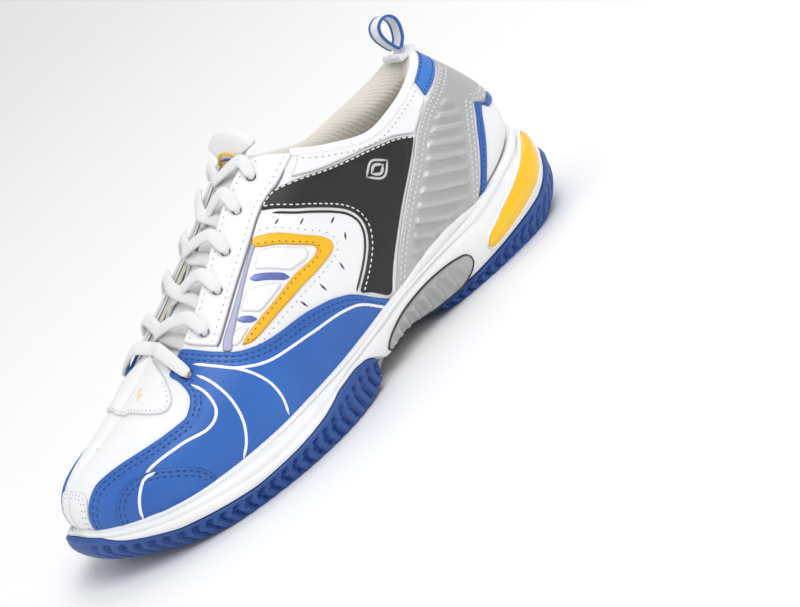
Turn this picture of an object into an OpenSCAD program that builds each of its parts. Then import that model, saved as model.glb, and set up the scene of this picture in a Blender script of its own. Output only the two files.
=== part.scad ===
// Court shoe, left foot, standing on its sole.
// +X toe, +Y outer (lateral) side, +Z up, ground at z = 0.  Sizes in millimetres.

/* [Whole shoe] */
// overall length, heel flare to toe bumper
shoe_length = 300; // [250:1:360]
// overall width across the ball of the foot
shoe_width = 110; // [90:1:132]
// height of the heel collar above the ground
collar_height = 98; // [80:1:120]

/* [Upper] */
// thickness of the inner lining
lining_t = 1.9; // [1.4:0.1:2.3]
// thickness of the base leather
leather_t = 1.0; // [0.8:0.1:1.3]
// thickness of a stitched overlay
overlay_t = 1.0; // [0.8:0.1:1.3]
// thickness of a small trim on an overlay
trim_t = 0.8; // [0.6:0.1:1.1]
// air left between stacked sheets
sheet_gap = 0.5; // [0.4:0.05:0.7]
// thickness of the padded tongue
tongue_t = 3.2; // [2.5:0.1:4]
// thickness of the padded collar
padding_t = 6; // [4.5:0.1:7.5]
// length of the tongue flap above the throat
tongue_flap = 17; // [12:0.5:22]

/* [Sole] */
// thickness of the outsole plate
outsole_t = 5; // [4:0.1:6]
// thickness of the loose footbed
footbed_t = 3.4; // [2.6:0.1:4.2]
// thickness of the midfoot shank plate
shank_t = 2.6; // [2:0.1:3.2]
// depth of the flex grooves under the forefoot
groove_d = 2.2; // [1.6:0.1:2.8]
// radius of the round pivot disc under the ball
disc_r = 12.5; // [10:0.5:16]
// air left round the pieces let into the sole
inlay_gap = 0.35; // [0.3:0.05:0.5]

/* [Lace and tab] */
// diameter of the lace where it passes an eyelet
lace_d = 2.6; // [2:0.1:3.2]
// radius of a punched eyelet
eyelet_r = 2.2; // [1.8:0.1:2.7]
// width of the pull tab webbing
tab_w = 9; // [7:0.5:11]
// height of the pull tab loop above its bead
tab_h = 17; // [13:0.5:21]
// thickness of the pull tab webbing
tab_t = 1.4; // [1.1:0.1:1.8]
// radius of the bead the pull tab turns on
bead_r = 2.4; // [2:0.1:2.9]
// running clearance round the bead and the tongue
run_gap = 0.4; // [0.3:0.05:0.6]

/* [Hidden] */

LAT = 1;
MED = -1;
kx = shoe_length / 300;
ky = shoe_width / 110;
kz = collar_height / 98;
EPS = 0.02;

// ---- the last: stations from the heel back (0) to the toe front (14) ----
// each row: feather point, crest point, outward bulge, dome share, roundness
LAST_L = [
    [-144, 0, 46, -129, 0, 98, 5, 0, 1], [-139, 18, 44, -123, 11, 96, 5, 0, 1],
    [-121, 30, 39, -110, 19, 92, 5, 0, 1], [-94, 34, 33, -92, 26, 89, 4, 0, 1],
    [-62, 35, 29, -69, 30, 88, 2.5, 0, 1], [-30, 37, 27, -46, 29, 97, 2, 0.1, 1],
    [-5, 41, 24, -28, 23, 108, 2, 0.3, 1], [14, 44, 22, -16, 8, 114, 2, 0.5, 1],
    [34, 46, 21, 8, 0, 104, 2, 0.7, 1], [60, 46, 20, 38, 0, 85, 2, 0.9, 1],
    [88, 40, 20, 68, -2, 65, 2, 1, 1], [110, 30, 21, 88, -6, 55, 2, 1, 0.95],
    [126, 16, 24, 102, -9, 50, 2, 1, 0.9], [133, 4, 26, 108, -10, 48, 2, 1, 0.9],
    [135, -8, 27, 110, -10, 47, 2, 1, 0.9]];
LAST_M = [
    [-144, 0, 46, -129, 0, 98, 5, 0, 1], [-139, -17, 44, -123, -11, 96, 5, 0, 1],
    [-121, -28, 39, -110, -19, 92, 5, 0, 1], [-94, -31, 33, -92, -26, 89, 4, 0, 1],
    [-62, -30, 30, -69, -29, 88, 2.5, 0, 1], [-30, -29, 29, -46, -28, 97, 1, 0.1, 1],
    [-5, -31, 26, -28, -22, 108, 1, 0.3, 1.1], [14, -35, 23, -16, -8, 114, 1, 0.5, 1.3],
    [34, -40, 21, 8, 0, 104, 1, 0.7, 1.35], [60, -44, 20, 38, 0, 85, 1, 0.9, 1.3],
    [88, -44, 20, 68, -2, 65, 1, 1, 1.15], [110, -38, 21, 88, -6, 55, 1.5, 1, 1.05],
    [126, -27, 24, 102, -9, 50, 2, 1, 0.95], [133, -18, 26, 108, -10, 48, 2, 1, 0.9],
    [135, -8, 27, 110, -10, 47, 2, 1, 0.9]];
// ---- the sole's side wall on the same stations: top edge, middle, ground edge ----
WALL_L = [
    [-147, 0, 45.5, -157, 0, 20, -148, 0, 3], [-142, 20, 43.5, -152, 21, 19, -143, 18, 2],
    [-123, 33, 38.5, -132, 36, 18, -124, 32, 0], [-95, 37.5, 32.5, -100, 40, 17, -95, 36, 0],
    [-63, 38.5, 28.5, -64, 38, 17, -62, 34, 1], [-31, 40.5, 26.5, -31, 39, 17, -30, 33, 9],
    [-5, 44.5, 23.5, -5, 46, 15, -4, 44, 5], [14, 47.5, 21.5, 14, 52, 13, 14, 50, 1],
    [35, 49.5, 20.5, 36, 57, 12, 36, 54, 0], [62, 49.5, 19.5, 64, 56, 12, 64, 53, 0],
    [91, 43.5, 19.5, 94, 48, 13, 92, 45, 0], [113.5, 33, 20.5, 117, 36, 15, 112, 33, 2.5],
    [129, 18, 23.5, 133, 19, 17, 126, 16, 5.5], [136.5, 4, 25.5, 141, 4, 19, 132, 3, 7],
    [138.5, -9, 26.5, 143, -9, 19, 134, -8, 7.5]];
WALL_M = [
    [-147, 0, 45.5, -157, 0, 20, -148, 0, 3], [-142, -19, 43.5, -152, -20, 19, -143, -17, 2],
    [-123, -31, 38.5, -132, -34, 18, -124, -30, 0], [-95, -34, 32.5, -100, -37, 17, -95, -33, 0],
    [-63, -33.5, 29.5, -64, -33, 18, -62, -29, 1], [-31, -32.5, 28.5, -31, -31, 19, -30, -25, 11],
    [-5, -34.5, 25.5, -5, -34, 17, -4, -30, 7], [14, -38.5, 22.5, 14, -40, 14, 14, -37, 2],
    [35, -43.5, 20.5, 36, -47, 12, 36, -44, 0], [62, -47.5, 19.5, 64, -51, 12, 64, -48, 0],
    [91, -47.5, 19.5, 94, -51, 13, 92, -48, 0], [113.5, -41, 20.5, 117, -45, 15, 112, -41, 2.5],
    [129, -30, 23.5, 133, -32, 17, 126, -28, 5.5], [136.5, -20, 25.5, 141, -21, 19, 132, -18, 7],
    [138.5, -9, 26.5, 143, -9, 19, 134, -8, 7.5]];
LASTN = len(LAST_L) - 1;

function rows(side, wall) = wall ? (side > 0 ? WALL_L : WALL_M) : (side > 0 ? LAST_L : LAST_M);
// row by whole number; rows past an end come from the other side of the shoe
function row_at(side, j, wall) =
    j < 0 ? rows(-side, wall)[-j] :
    j > LASTN ? rows(-side, wall)[2 * LASTN - j] : rows(side, wall)[j];
// smooth row at any station
function station(side, s, wall = false) =
    let (i = min(LASTN - 1, max(0, floor(s))), f = s - i,
        a = row_at(side, i - 1, wall), b = row_at(side, i, wall),
        c = row_at(side, i + 1, wall), d = row_at(side, i + 2, wall))
    0.5 * (2 * b + (c - a) * f + (2 * a - 5 * b + 4 * c - d) * f * f
        + (3 * b - a - 3 * c + d) * f * f * f);
function unit(v) = v / max(norm(v), 1e-9);
function mix(a, b, f) = a + (b - a) * f;
// the stations are drawn from the ankle; the part's origin is the middle of its footprint
SHIFT = [7, -3];
function px(x) = (x + SHIFT[0]) * kx;
function py(y) = (y + SHIFT[1]) * ky;
function scaled(p) = [px(p[0]), py(p[1]), p[2] * kz];

// outward direction in plan at a station
function plan_out(side, s) =
    let (a = station(side, max(0, s - 0.05)), b = station(side, min(LASTN, s + 0.05)),
        d = s < 0.05 ? [0, side] : s > LASTN - 0.05 ? [0, -side] : [b[0] - a[0], b[1] - a[1]])
    unit([-d[1] * side, d[0] * side]);
// point on the last
function skin(side, s, t) =
    let (k = station(side, s), n = plan_out(side, s), ph = 90 * min(1, max(0, t)),
        a = 1 - pow(cos(ph), k[8]), c = (1 - k[7]) * t + k[7] * pow(sin(ph), k[8]),
        b = k[6] * sin(180 * pow(max(0, min(1, t)), 0.6)))
    scaled([k[0] + (k[3] - k[0]) * a + n[0] * b, k[1] + (k[4] - k[1]) * a + n[1] * b,
        k[2] + (k[5] - k[2]) * c]);
function skin_n(side, s, t) =
    let (s0 = max(0, s - EPS), s1 = min(LASTN, s + EPS), t0 = max(0, t - EPS), t1 = min(1, t + EPS),
        n = unit(cross(skin(side, s1, t) - skin(side, s0, t), skin(side, s, t1) - skin(side, s, t0))
            * -side))
    s < 0.01 || s > LASTN - 0.01 || (t > 0.995 && s > 7.9) ? unit([n[0], 0, n[2]]) : n;
// point at a distance off the last
function on(side, s, t, off) = skin(side, s, t) + skin_n(side, s, t) * off;
// point on the sole wall, v = 0 at the ground edge and 1 at the top edge
function wall(side, s, v) =
    let (k = station(side, s, true), g = [k[6], k[7], k[8]], w = [k[3], k[4], k[5]],
        u = [k[0], k[1], k[2]])
    scaled(g * (1 - v) * (1 - 2 * v) + w * 4 * v * (1 - v) + u * v * (2 * v - 1));
function wall_n(side, s, v) =
    unit(cross(wall(side, min(LASTN, s + EPS), v) - wall(side, max(0, s - EPS), v),
        wall(side, s, min(1, v + EPS)) - wall(side, s, max(0, v - EPS))) * -side);
function on_wall(side, s, v, off) = wall(side, s, v) + wall_n(side, s, v) * off;

// ---- solids from point grids ----
function flat(g) = [for (r = g) for (p = r) p];
// closed sheet between an outer grid and an inner grid
module sheet(outer, inner) {
    n = len(outer);
    m = len(outer[0]);
    o = n * m;
    function id(i, j) = i * m + j;
    polyhedron(points = concat(flat(outer), flat(inner)), faces = concat(
        [for (i = [0:n - 2]) for (j = [0:m - 2])
            [id(i, j), id(i, j + 1), id(i + 1, j + 1), id(i + 1, j)]],
        [for (i = [0:n - 2]) for (j = [0:m - 2])
            [o + id(i, j), o + id(i + 1, j), o + id(i + 1, j + 1), o + id(i, j + 1)]],
        [for (i = [0:n - 2]) [id(i + 1, 0), o + id(i + 1, 0), o + id(i, 0), id(i, 0)]],
        [for (i = [0:n - 2]) [id(i, m - 1), o + id(i, m - 1), o + id(i + 1, m - 1), id(i + 1, m - 1)]],
        [for (j = [0:m - 2]) [id(0, j), o + id(0, j), o + id(0, j + 1), id(0, j + 1)]],
        [for (j = [0:m - 2])
            [id(n - 1, j + 1), o + id(n - 1, j + 1), o + id(n - 1, j), id(n - 1, j)]]),
        convexity = 8);
}
// several sheets joined into one body
module fuse() { resize([0, 0, 0]) union() children(); }

// edge pairs [[s, t], [s, t]] cut finer along (k) and across (m)
function finer(E, k) =
    [for (i = [0:len(E) - 2]) for (j = [0:k - 1]) mix(E[i], E[i + 1], j / k), E[len(E) - 1]];
function strip_pts(side, E, off, k, m) =
    [for (e = finer(E, k)) [for (j = [0:m]) let (q = mix(e[0], e[1], j / m)) on(side, q[0], q[1], off)]];
module strip(side, E, lo, hi, k = 2, m = 4) {
    if (side > 0) sheet(strip_pts(side, E, hi, k, m), strip_pts(side, E, lo, k, m));
    else sheet(strip_pts(side, E, lo, k, m), strip_pts(side, E, hi, k, m));
}
// the same pairs run round the heel from the medial end to the lateral end; E starts at s = 0
function round_pts(E, off, k, m) =
    let (a = strip_pts(MED, E, off, k, m), b = strip_pts(LAT, E, off, k, m))
    concat([for (i = [len(a) - 1:-1:1]) a[i]], b);
module round_strip(E, lo, hi, k = 2, m = 4)
    sheet(round_pts(E, hi, k, m), round_pts(E, lo, k, m));
// the same pairs run over the crest from the outer side to the inner side; E ends at t = 1
function over_pts(E, off, k, m) =
    let (a = strip_pts(LAT, E, off, k, m), b = strip_pts(MED, E, off, k, m))
    [for (i = [0:len(a) - 1]) concat(a[i], [for (j = [m - 1:-1:0]) b[i][j]])];
module over_strip(E, lo, hi, k = 2, m = 4)
    sheet(over_pts(E, hi, k, m), over_pts(E, lo, k, m));
// the same pairs run round the toe from the outer side to the inner side; E ends at the toe
function toe_pts(E, off, k, m) =
    let (a = strip_pts(LAT, E, off, k, m), b = strip_pts(MED, E, off, k, m))
    concat(a, [for (i = [len(b) - 2:-1:0]) b[i]]);
module toe_strip(E, lo, hi, k = 2, m = 4)
    sheet(toe_pts(E, hi, k, m), toe_pts(E, lo, k, m));
// pairs on the sole wall
function wall_pts(side, E, off, k, m) =
    [for (e = finer(E, k)) [for (j = [0:m]) let (q = mix(e[0], e[1], j / m)) on_wall(side, q[0], q[1], off)]];
module wall_strip(side, E, lo, hi, k = 2, m = 3) {
    if (side > 0) sheet(wall_pts(side, E, hi, k, m), wall_pts(side, E, lo, k, m));
    else sheet(wall_pts(side, E, lo, k, m), wall_pts(side, E, hi, k, m));
}

// ---- levels of the layers off the last ----
base_lo = 0;
base_hi = leather_t;
over_lo = base_hi + sheet_gap;
over_hi = over_lo + overlay_t;
top_lo = over_hi + sheet_gap;
top_hi = top_lo + trim_t;
lin_hi = -sheet_gap;
lin_lo = lin_hi - lining_t;
pad_hi = lin_lo - sheet_gap;
pad_lo = pad_hi - padding_t;
ton_hi = lin_lo - lace_d - 2 * run_gap - 0.5;
ton_lo = ton_hi - tongue_t;

// ---- pattern lines, [station, height share] ----
T0 = 0.02;
THROAT = [[5.9, 1], [6.3, 1], [6.8, 0.95], [7.4, 0.87], [8, 0.79], [8.5, 0.74], [9, 0.7],
    [9.85, 0.68]];
function throat(s) = lookup(s, THROAT);
EYE_OUT = [[5.7, 0.995], [6, 0.9], [6.4, 0.79], [7, 0.68], [7.8, 0.58], [8.5, 0.52],
    [9, 0.48], [9.3, 0.6]];
EYE_IN = [[6.3, 0.995], [6.45, 0.985], [6.75, 0.955], [7.25, 0.885], [7.9, 0.795], [8.5, 0.735],
    [9, 0.7], [9.3, 0.685]];
EYELETS = [[9.6, 0.56], [9.05, 0.58], [8.5, 0.62], [8, 0.68], [7.4, 0.76], [6.8, 0.86]];
MUD_TOP = [[5.1, 0.04], [5.7, 0.17], [6.2, 0.22], [7, 0.24], [8.1, 0.28], [8.7, 0.36],
    [9.05, 0.45], [9.36, 0.6], [9.42, 0.68], [9.84, 0.68], [9.94, 0.43], [10.5, 0.46], [11.4, 0.52],
    [12.1, 0.51], [12.5, 0.42], [12.9, 0.24], [13.15, 0.06]];

// ---- sole pieces ----
// border between outsole and midsole, as height share of the wall
RIM = [[0, 0.36], [1.5, 0.36], [3, 0.24], [4.4, 0.14], [6.1, 0.42], [6.5, 0.66], [8, 0.64],
    [8.8, 0.5], [9.6, 0.36], [11, 0.4], [12, 0.62], [12.8, 0.86], [14, 0.9]];
BED = [[0, 31], [3, 28], [5, 25], [7, 21], [10, 18.5], [12, 20.5], [14, 22]];
// point moved in from the side wall towards the middle line of the sole
function inset(p, d) = let (r = unit([p[0] - max(px(-112), min(px(100), p[0])), p[1] - py(0)]))
    [p[0] - r[0] * d, p[1] - r[1] * d, p[2]];
function at_z(p, z) = [p[0], p[1], z];
// stations round the sole; closer together at the heel and the toe
SOLE_S = [0, 0.35, 0.7, 1, 1.35, 1.7, 2, 2.5, 3, 3.5, 4, 4.5, 5, 5.5, 6, 6.5, 7, 7.5, 8, 8.5, 9, 9.5, 10,
    10.4, 10.8, 11.2, 11.6, 12, 12.35, 12.7, 13, 13.35, 13.7, 14];
// body lofted through levels; each level is a list of medial points and lateral points
module loft(levels) {
    n = len(levels[0][0]);
    ring = 2 * n;
    L = len(levels);
    pts = [for (lv = levels) for (p = concat([for (i = [n - 1:-1:0]) lv[0][i]], lv[1])) p];
    function id(l, i) = l * ring + (i % ring);
    cap = function (l, up) [for (i = [0:n - 2]) up
        ? [id(l, i + 1), id(l, ring - 2 - i), id(l, ring - 1 - i), id(l, i)]
        : [id(l, i), id(l, ring - 1 - i), id(l, ring - 2 - i), id(l, i + 1)]];
    polyhedron(points = pts, faces = concat(cap(0, false),
        [for (l = [0:L - 2]) for (i = [0:ring - 1]) [id(l, i), id(l, i + 1), id(l + 1, i + 1), id(l + 1, i)]],
        cap(L - 1, true)), convexity = 10);
}
function lv(ss, f) = [[for (s = ss) f(MED, s)], [for (s = ss) f(LAT, s)]];
FORE_S = [6.2, for (s = SOLE_S) if (s > 6.2 && s < 13.9) s, 13.94];
HEEL_S = [0.06, for (s = SOLE_S) if (s > 0.1 && s < 4.4) s, 4.4];
BODY_S = [0.06, for (s = SOLE_S) if (s > 0.1 && s < 4.4) s, 4.42, 4.56,
    for (s = SOLE_S) if (s > 4.6 && s < 6.1) s, 6.16, for (s = SOLE_S) if (s > 6.2 && s < 13.9) s, 13.94];
function rim(s) = lookup(s, RIM);
function ground(side, s) = wall(side, s, 0)[2];
// the plate is made this much deeper and cut off flat at the ground, so that it stands on true faces
foot_print = 0.5;
module ground_cut() translate([px(-200), py(-100), -20]) cube([px(400), py(200), 20]);
module outsole_body(ss) loft([
    lv(ss, function (d, s) inset(wall(d, s, 0), 2.5) - [0, 0, foot_print]),
    lv(ss, function (d, s) wall(d, s, min(0.12, rim(s) * 0.4))),
    lv(ss, function (d, s) wall(d, s, rim(s) * 0.7)),
    lv(ss, function (d, s) wall(d, s, rim(s))),
    lv(ss, function (d, s) at_z(inset(wall(d, s, rim(s)), 12), ground(d, s) + outsole_t))]);

INSERT = [[-3, 16], [0, 19], [16, 22], [19, 31], [42, 33], [66, 29], [72, 25], [73, 11], [78, 2],
    [87, -8], [86, -14], [80, -15], [63, -10], [50, -4], [40, -4], [33, -9], [29, -16], [26, -21],
    [6, -16], [3, -12], [5, -2], [1, 6]];
DISC = [47, -27];
function plan(P) = [for (p = P) [px(p[0]), py(p[1])]];
module outsole_forefoot() {
    color("#2250a8") fuse() difference() {
        outsole_body(FORE_S);
        translate([0, 0, -1]) linear_extrude(outsole_t + 3) offset(delta = inlay_gap) polygon(plan(INSERT));
        translate([px(DISC[0]), py(DISC[1]), -1])
            cylinder(r = disc_r + inlay_gap, h = outsole_t + 3, $fn = 48);
        for (x = [62, 74, 86, 98])
            translate([px(x), py(10), 0]) cube([2.4, 200, 2 * groove_d], center = true);
        ground_cut();
    }
}
module outsole_heel() {
    color("#2250a8") fuse() difference() {
        outsole_body(HEEL_S);
        for (x = [-128, -112, -96, -80])
            translate([px(x), py(0), 0]) cube([2.4, 200, 2 * groove_d], center = true);
        ground_cut();
    }
}
module midsole() {
    color("#f2f3f4") loft([
        lv(BODY_S, function (d, s) at_z(inset(wall(d, s, rim(s) + 0.03), 12 + inlay_gap),
            ground(d, s) + (s > 4.43 && s < 6.14 ? shank_t + 0.6 : outsole_t + 0.2) + inlay_gap)),
        lv(BODY_S, function (d, s) wall(d, s, min(0.96, rim(s) + 0.03)) + [0, 0, 0.7]),
        lv(BODY_S, function (d, s) wall(d, s, mix(rim(s) + 0.03, 1, 0.5))),
        lv(BODY_S, function (d, s) wall(d, s, 1)),
        lv(BODY_S, function (d, s) inset(wall(d, s, 1), 5.5)),
        lv(BODY_S, function (d, s) at_z(inset(wall(d, s, 1), 9), lookup(s, BED) * kz))]);
}
module forefoot_insert() color("#f7b500")
    translate([0, 0, 0.8]) linear_extrude(outsole_t - 0.8 - 0.35) polygon(plan(INSERT));
module pivot_disc() color("#f7b500") translate([px(DISC[0]), py(DISC[1]), 0.8])
    difference() {
        cylinder(r = disc_r, h = outsole_t - 1.15, $fn = 48);
        translate([0, 0, -1]) cylinder(r = disc_r * 0.42, h = 2, $fn = 36);
    }
module shank_plate() {
    ss = [4.5, 4.8, 5.1, 5.4, 5.7, 6.0];
    color("#b9bec4") fuse() {
        loft([
            lv(ss, function (d, s) at_z(inset(wall(d, s, 0), 9), ground(d, s))),
            lv(ss, function (d, s) at_z(inset(wall(d, s, 0), 9), ground(d, s) + shank_t))]);
    }
}
ARCH = [[[3.1, 0.78], [3.12, 0.5]], [[3.4, 0.84], [3.3, 0.36]], [[3.8, 0.86], [3.7, 0.3]],
    [[4.3, 0.84], [4.2, 0.28]], [[4.8, 0.8], [4.7, 0.3]], [[5.3, 0.74], [5.2, 0.34]],
    [[5.75, 0.62], [5.7, 0.42]]];
module arch_window(side) color("#b4b8bd") wall_strip(side, ARCH, 0.3, 1.5, 2, 3);
module arch_window_lateral() arch_window(LAT);
module arch_window_medial() arch_window(MED);
HEEL_IN = [[[0.35, 0.74], [0.35, 0.66]], [[0.6, 0.8], [0.6, 0.58]], [[1, 0.8], [1, 0.53]],
    [[1.5, 0.74], [1.5, 0.5]], [[2, 0.66], [2, 0.46]], [[2.3, 0.57], [2.3, 0.46]]];
module heel_insert(side) color("#f9c416") wall_strip(side, HEEL_IN, 0.3, 1.9, 2, 3);
module heel_insert_lateral() heel_insert(LAT);
module heel_insert_medial() heel_insert(MED);
function bed(d, s, dz, off) = at_z(inset(wall(d, s, 1), off), lookup(s, BED) * kz + dz);
module strobel_board() color("#e6e2d8") loft([
    lv(BODY_S, function (d, s) bed(d, s, 0.3, 11.5)),
    lv(BODY_S, function (d, s) bed(d, s, 1.3, 11.5))]);
module sockliner() color("#e9ecef") loft([
    lv(BODY_S, function (d, s) bed(d, s, 1.7, 11)),
    lv(BODY_S, function (d, s) bed(d, s, 1.7 + footbed_t * 0.7, 11)),
    lv(BODY_S, function (d, s) bed(d, s, 1.7 + footbed_t, 12.5))]);

// ---- upper pieces ----
function span(s0, s1, n) = [for (i = [0:n]) s0 + (s1 - s0) * i / n];
module eyelet_holes(side) for (e = EYELETS) {
    c = skin(side, e[0], e[1]);
    n = skin_n(side, e[0], e[1]);
    translate(c) rotate([0, acos(n[2]), atan2(n[1], n[0])])
        cylinder(r = eyelet_r, h = 12, center = true, $fn = 12);
}
module punched(side) fuse() difference() {
    children();
    eyelet_holes(side);
}
module quarter_lining() {
    E = [for (s = span(0, 9.84, 24)) [[s, T0], [s, throat(s) - 0.015]]];
    color("#efe9dc") fuse() difference() {
        round_strip(E, lin_lo, lin_hi, 1, 6);
        eyelet_holes(LAT);
        eyelet_holes(MED);
    }
}
module dome(lo, hi, s0, n = 12, m = 7)
    over_strip([for (s = span(s0, 13.96, n)) [[s, T0], [s, 1]]], lo, hi, 1, m);
module vamp_lining() color("#efe9dc") dome(lin_lo, lin_hi, 9.9);
module vamp() color("#f4f5f6") dome(base_lo, base_hi, 9.9);
module toe_cap() {
    E = [[[13.3, T0], [12.95, 0.34]], [[13.55, T0], [13.1, 0.45]], [[14, T0], [14, 0.5]]];
    color("#f1f2f3") toe_strip(E, over_lo, over_hi, 3, 5);
}
module quarter(side) color("#f6f7f8") punched(side)
    strip(side, [for (s = span(3.42, 9.84, 18)) [[s, T0], [s, throat(s)]]], base_lo, base_hi, 1, 8);
module quarter_lateral() quarter(LAT);
module quarter_medial() quarter(MED);
module heel_back() color("#f4f5f6")
    round_strip([for (s = span(0, 3.38, 14)) [[s, T0], [s, 0.995]]], base_lo, base_hi, 1, 8);

COLLAR = [[[2.35, 0.86], [2.1, 0.995]], [[2.6, 0.86], [2.6, 0.995]], [[3.25, 0.79], [3.2, 0.995]],
    [[3.75, 0.935], [3.75, 0.995]], [[4.2, 0.965], [4.2, 0.995]], [[4.8, 0.93], [4.8, 0.995]],
    [[5.5, 0.88], [5.3, 0.995]], [[5.9, 0.86], [5.6, 0.995]]];
module collar_panel(side) color("#f7f7f5") strip(side, COLLAR, over_lo, over_hi, 3, 3);
module collar_panel_lateral() collar_panel(LAT);
module collar_panel_medial() collar_panel(MED);
module eyestay(side) {
    E = [for (i = [0:len(EYE_OUT) - 1]) [EYE_OUT[i], EYE_IN[i]]];
    color("#f5f6f7") punched(side) strip(side, E, over_lo, over_hi, 2, 4);
}
module eyestay_lateral() eyestay(LAT);
module eyestay_medial() eyestay(MED);
module mudguard(side) {
    E = [for (p = MUD_TOP) [[p[0], T0], p]];
    color("#2560b8") punched(side) strip(side, E, over_lo, over_hi, 2, 5);
}
module mudguard_lateral() mudguard(LAT);
module mudguard_medial() mudguard(MED);
SADDLE = [[[5.1, 0.08], [5.6, 0.18]], [[4.8, 0.2], [5.2, 0.26]], [[4.55, 0.34], [4.95, 0.36]],
    [[4.25, 0.46], [4.85, 0.49]], [[4, 0.58], [4.9, 0.57]], [[3.8, 0.66], [5.15, 0.63]],
    [[3.5, 0.74], [5.6, 0.66]], [[3.4, 0.78], [6.2, 0.675]], [[3.5, 0.81], [6.8, 0.69]],
    [[3.75, 0.9], [6.25, 0.79]], [[4.2, 0.93], [5.55, 0.845]], [[4.5, 0.915], [5.1, 0.875]]];
module saddle(side) color("#17181b") strip(side, SADDLE, over_lo, over_hi, 2, 7);
module saddle_lateral() saddle(LAT);
module saddle_medial() saddle(MED);
STRAP = [[[0.06, 0.82], [0.06, 0.36]], [[0.7, 0.82], [0.7, 0.37]], [[1.3, 0.82], [1.4, 0.41]],
    [[1.9, 0.82], [1.65, 0.52]], [[2.5, 0.81], [1.9, 0.47]], [[3, 0.76], [2.15, 0.41]],
    [[3.45, 0.66], [2.45, 0.28]], [[3.9, 0.5], [2.7, 0.14]], [[4.35, 0.3], [2.85, 0.05]],
    [[4.9, 0.035], [2.95, 0.035]]];
module heel_strap(side) color("#b5b8bb") strip(side, STRAP, over_lo, over_hi, 2, 5);
module heel_strap_lateral() heel_strap(LAT);
module heel_strap_medial() heel_strap(MED);
TRIM = [[[0, 0.33], [0, 0.27]], [[0.7, 0.34], [0.7, 0.28]], [[1.35, 0.38], [1.35, 0.32]],
    [[1.6, 0.5], [1.5, 0.4]], [[1.85, 0.44], [1.75, 0.38]], [[2.1, 0.36], [2, 0.33]],
    [[2.4, 0.24], [2.3, 0.22]], [[2.65, 0.11], [2.55, 0.1]], [[2.8, 0.035], [2.7, 0.035]]];
module heel_trim() color("#2b63b5") round_strip(TRIM, over_lo, over_hi, 2, 1);
ACHILLES = [[[0, 0.995], [0, 0.85]], [[0.9, 0.995], [0.9, 0.85]], [[1.6, 0.995], [1.6, 0.85]],
    [[2.0, 0.995], [2.25, 0.87]]];
module achilles_patch() color("#2b6ac0") round_strip(ACHILLES, over_lo, over_hi, 4, 3);
STRIPE = [[[7.4, 0.605], [7.5, 0.575]], [[6.6, 0.57], [6.75, 0.54]], [[5.85, 0.51], [6.2, 0.49]],
    [[5.7, 0.465], [6.15, 0.465]], [[6.4, 0.43], [6.7, 0.44]], [[7.5, 0.385], [7.6, 0.408]],
    [[8.5, 0.345], [8.6, 0.375]]];
module stripe(side) color("#f6bd0f") strip(side, STRIPE, over_lo, over_hi, 3, 2);
module stripe_lateral() stripe(LAT);
module stripe_medial() stripe(MED);
WINDOW = [[[7, 0.5], [7.55, 0.55]], [[7.4, 0.47], [7.9, 0.53]], [[7.8, 0.44], [8.3, 0.5]],
    [[8.3, 0.42], [8.6, 0.47]], [[8.7, 0.4], [8.8, 0.445]]];
module side_window(side) color("#8f9bc6") strip(side, WINDOW, over_lo, over_hi, 3, 3);
module side_window_lateral() side_window(LAT);
module side_window_medial() side_window(MED);
PATCH = [[[9.95, 0.72], [9.95, 1]], [[10.02, 0.5], [10.15, 1]], [[10.3, 0.56], [10.4, 1]],
    [[10.65, 0.7], [10.7, 1]], [[10.9, 0.9], [10.95, 1]]];
module throat_patch() color("#f6f6f6") over_strip(PATCH, over_lo, over_hi, 2, 4);
RAND = [[[10.2, 0.06], [10.2, 0.12]], [[10.6, 0.06], [10.6, 0.26]], [[11, 0.06], [11, 0.32]],
    [[11.5, 0.06], [11.5, 0.33]], [[11.9, 0.06], [11.9, 0.25]], [[12.2, 0.06], [12.05, 0.17]]];
module toe_rand(side) color("#2560b8") strip(side, RAND, top_lo, top_hi, 3, 4);
module toe_rand_lateral() toe_rand(LAT);
module toe_rand_medial() toe_rand(MED);
PAD = [for (s = span(0, 5.5, 22)) [[s, mix(0.5, 0.7, s / 5.5)], [s, 0.985]]];
module collar_padding() color("#efe8d8") round_strip(PAD, pad_lo, pad_hi, 1, 5);

// ---- tongue: under the throat it follows the last, above it a free flap ----
TON_S = [10.35, 10, 9.6, 9.2, 8.8, 8.4, 8.0, 7.6, 7.25, 6.95];
FLAP = [[-17.5, 108.5, 22, 9], [-18.6, 109.5 + tongue_flap * 0.38, 26, 10],
    [-21, 109.5 + tongue_flap * 0.65, 32, 16], [-23.5, 109.5 + tongue_flap, 34, 23]];
// across the flap: path point, droop radius and half width
function flap_row(k, off, m) = [for (j = [m:-1:-m]) let (a = (j / m) * k[3] / k[2] * 57.3)
    [px(k[0] + 0.94 * off), py((k[2] + off) * sin(a)), (k[1] - k[2] * (1 - cos(a)) * 0.8 + 0.3 * off) * kz]];
function ton_edge(s) = lookup(s, [[6.95, 0.88], [7.25, 0.82], [8, 0.72], [9, 0.62], [10.4, 0.66]]);
function ton_grid(off, m = 6) = concat(
    over_pts([for (s = TON_S) [[s, ton_edge(s)], [s, 1]]], ton_hi + off, 1, m),
    [for (k = FLAP) flap_row(k, off, m)]);
module tongue() color("#f5f6f7") sheet(ton_grid(0), ton_grid(-tongue_t));
module tongue_badge() color("#f4b81a")
    translate([px(FLAP[1][0] + 0.7), py(0), (FLAP[1][1] + 1) * kz]) rotate([0, 76, 0])
        cylinder(r = 7.5, h = 0.9, $fn = 40);

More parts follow.
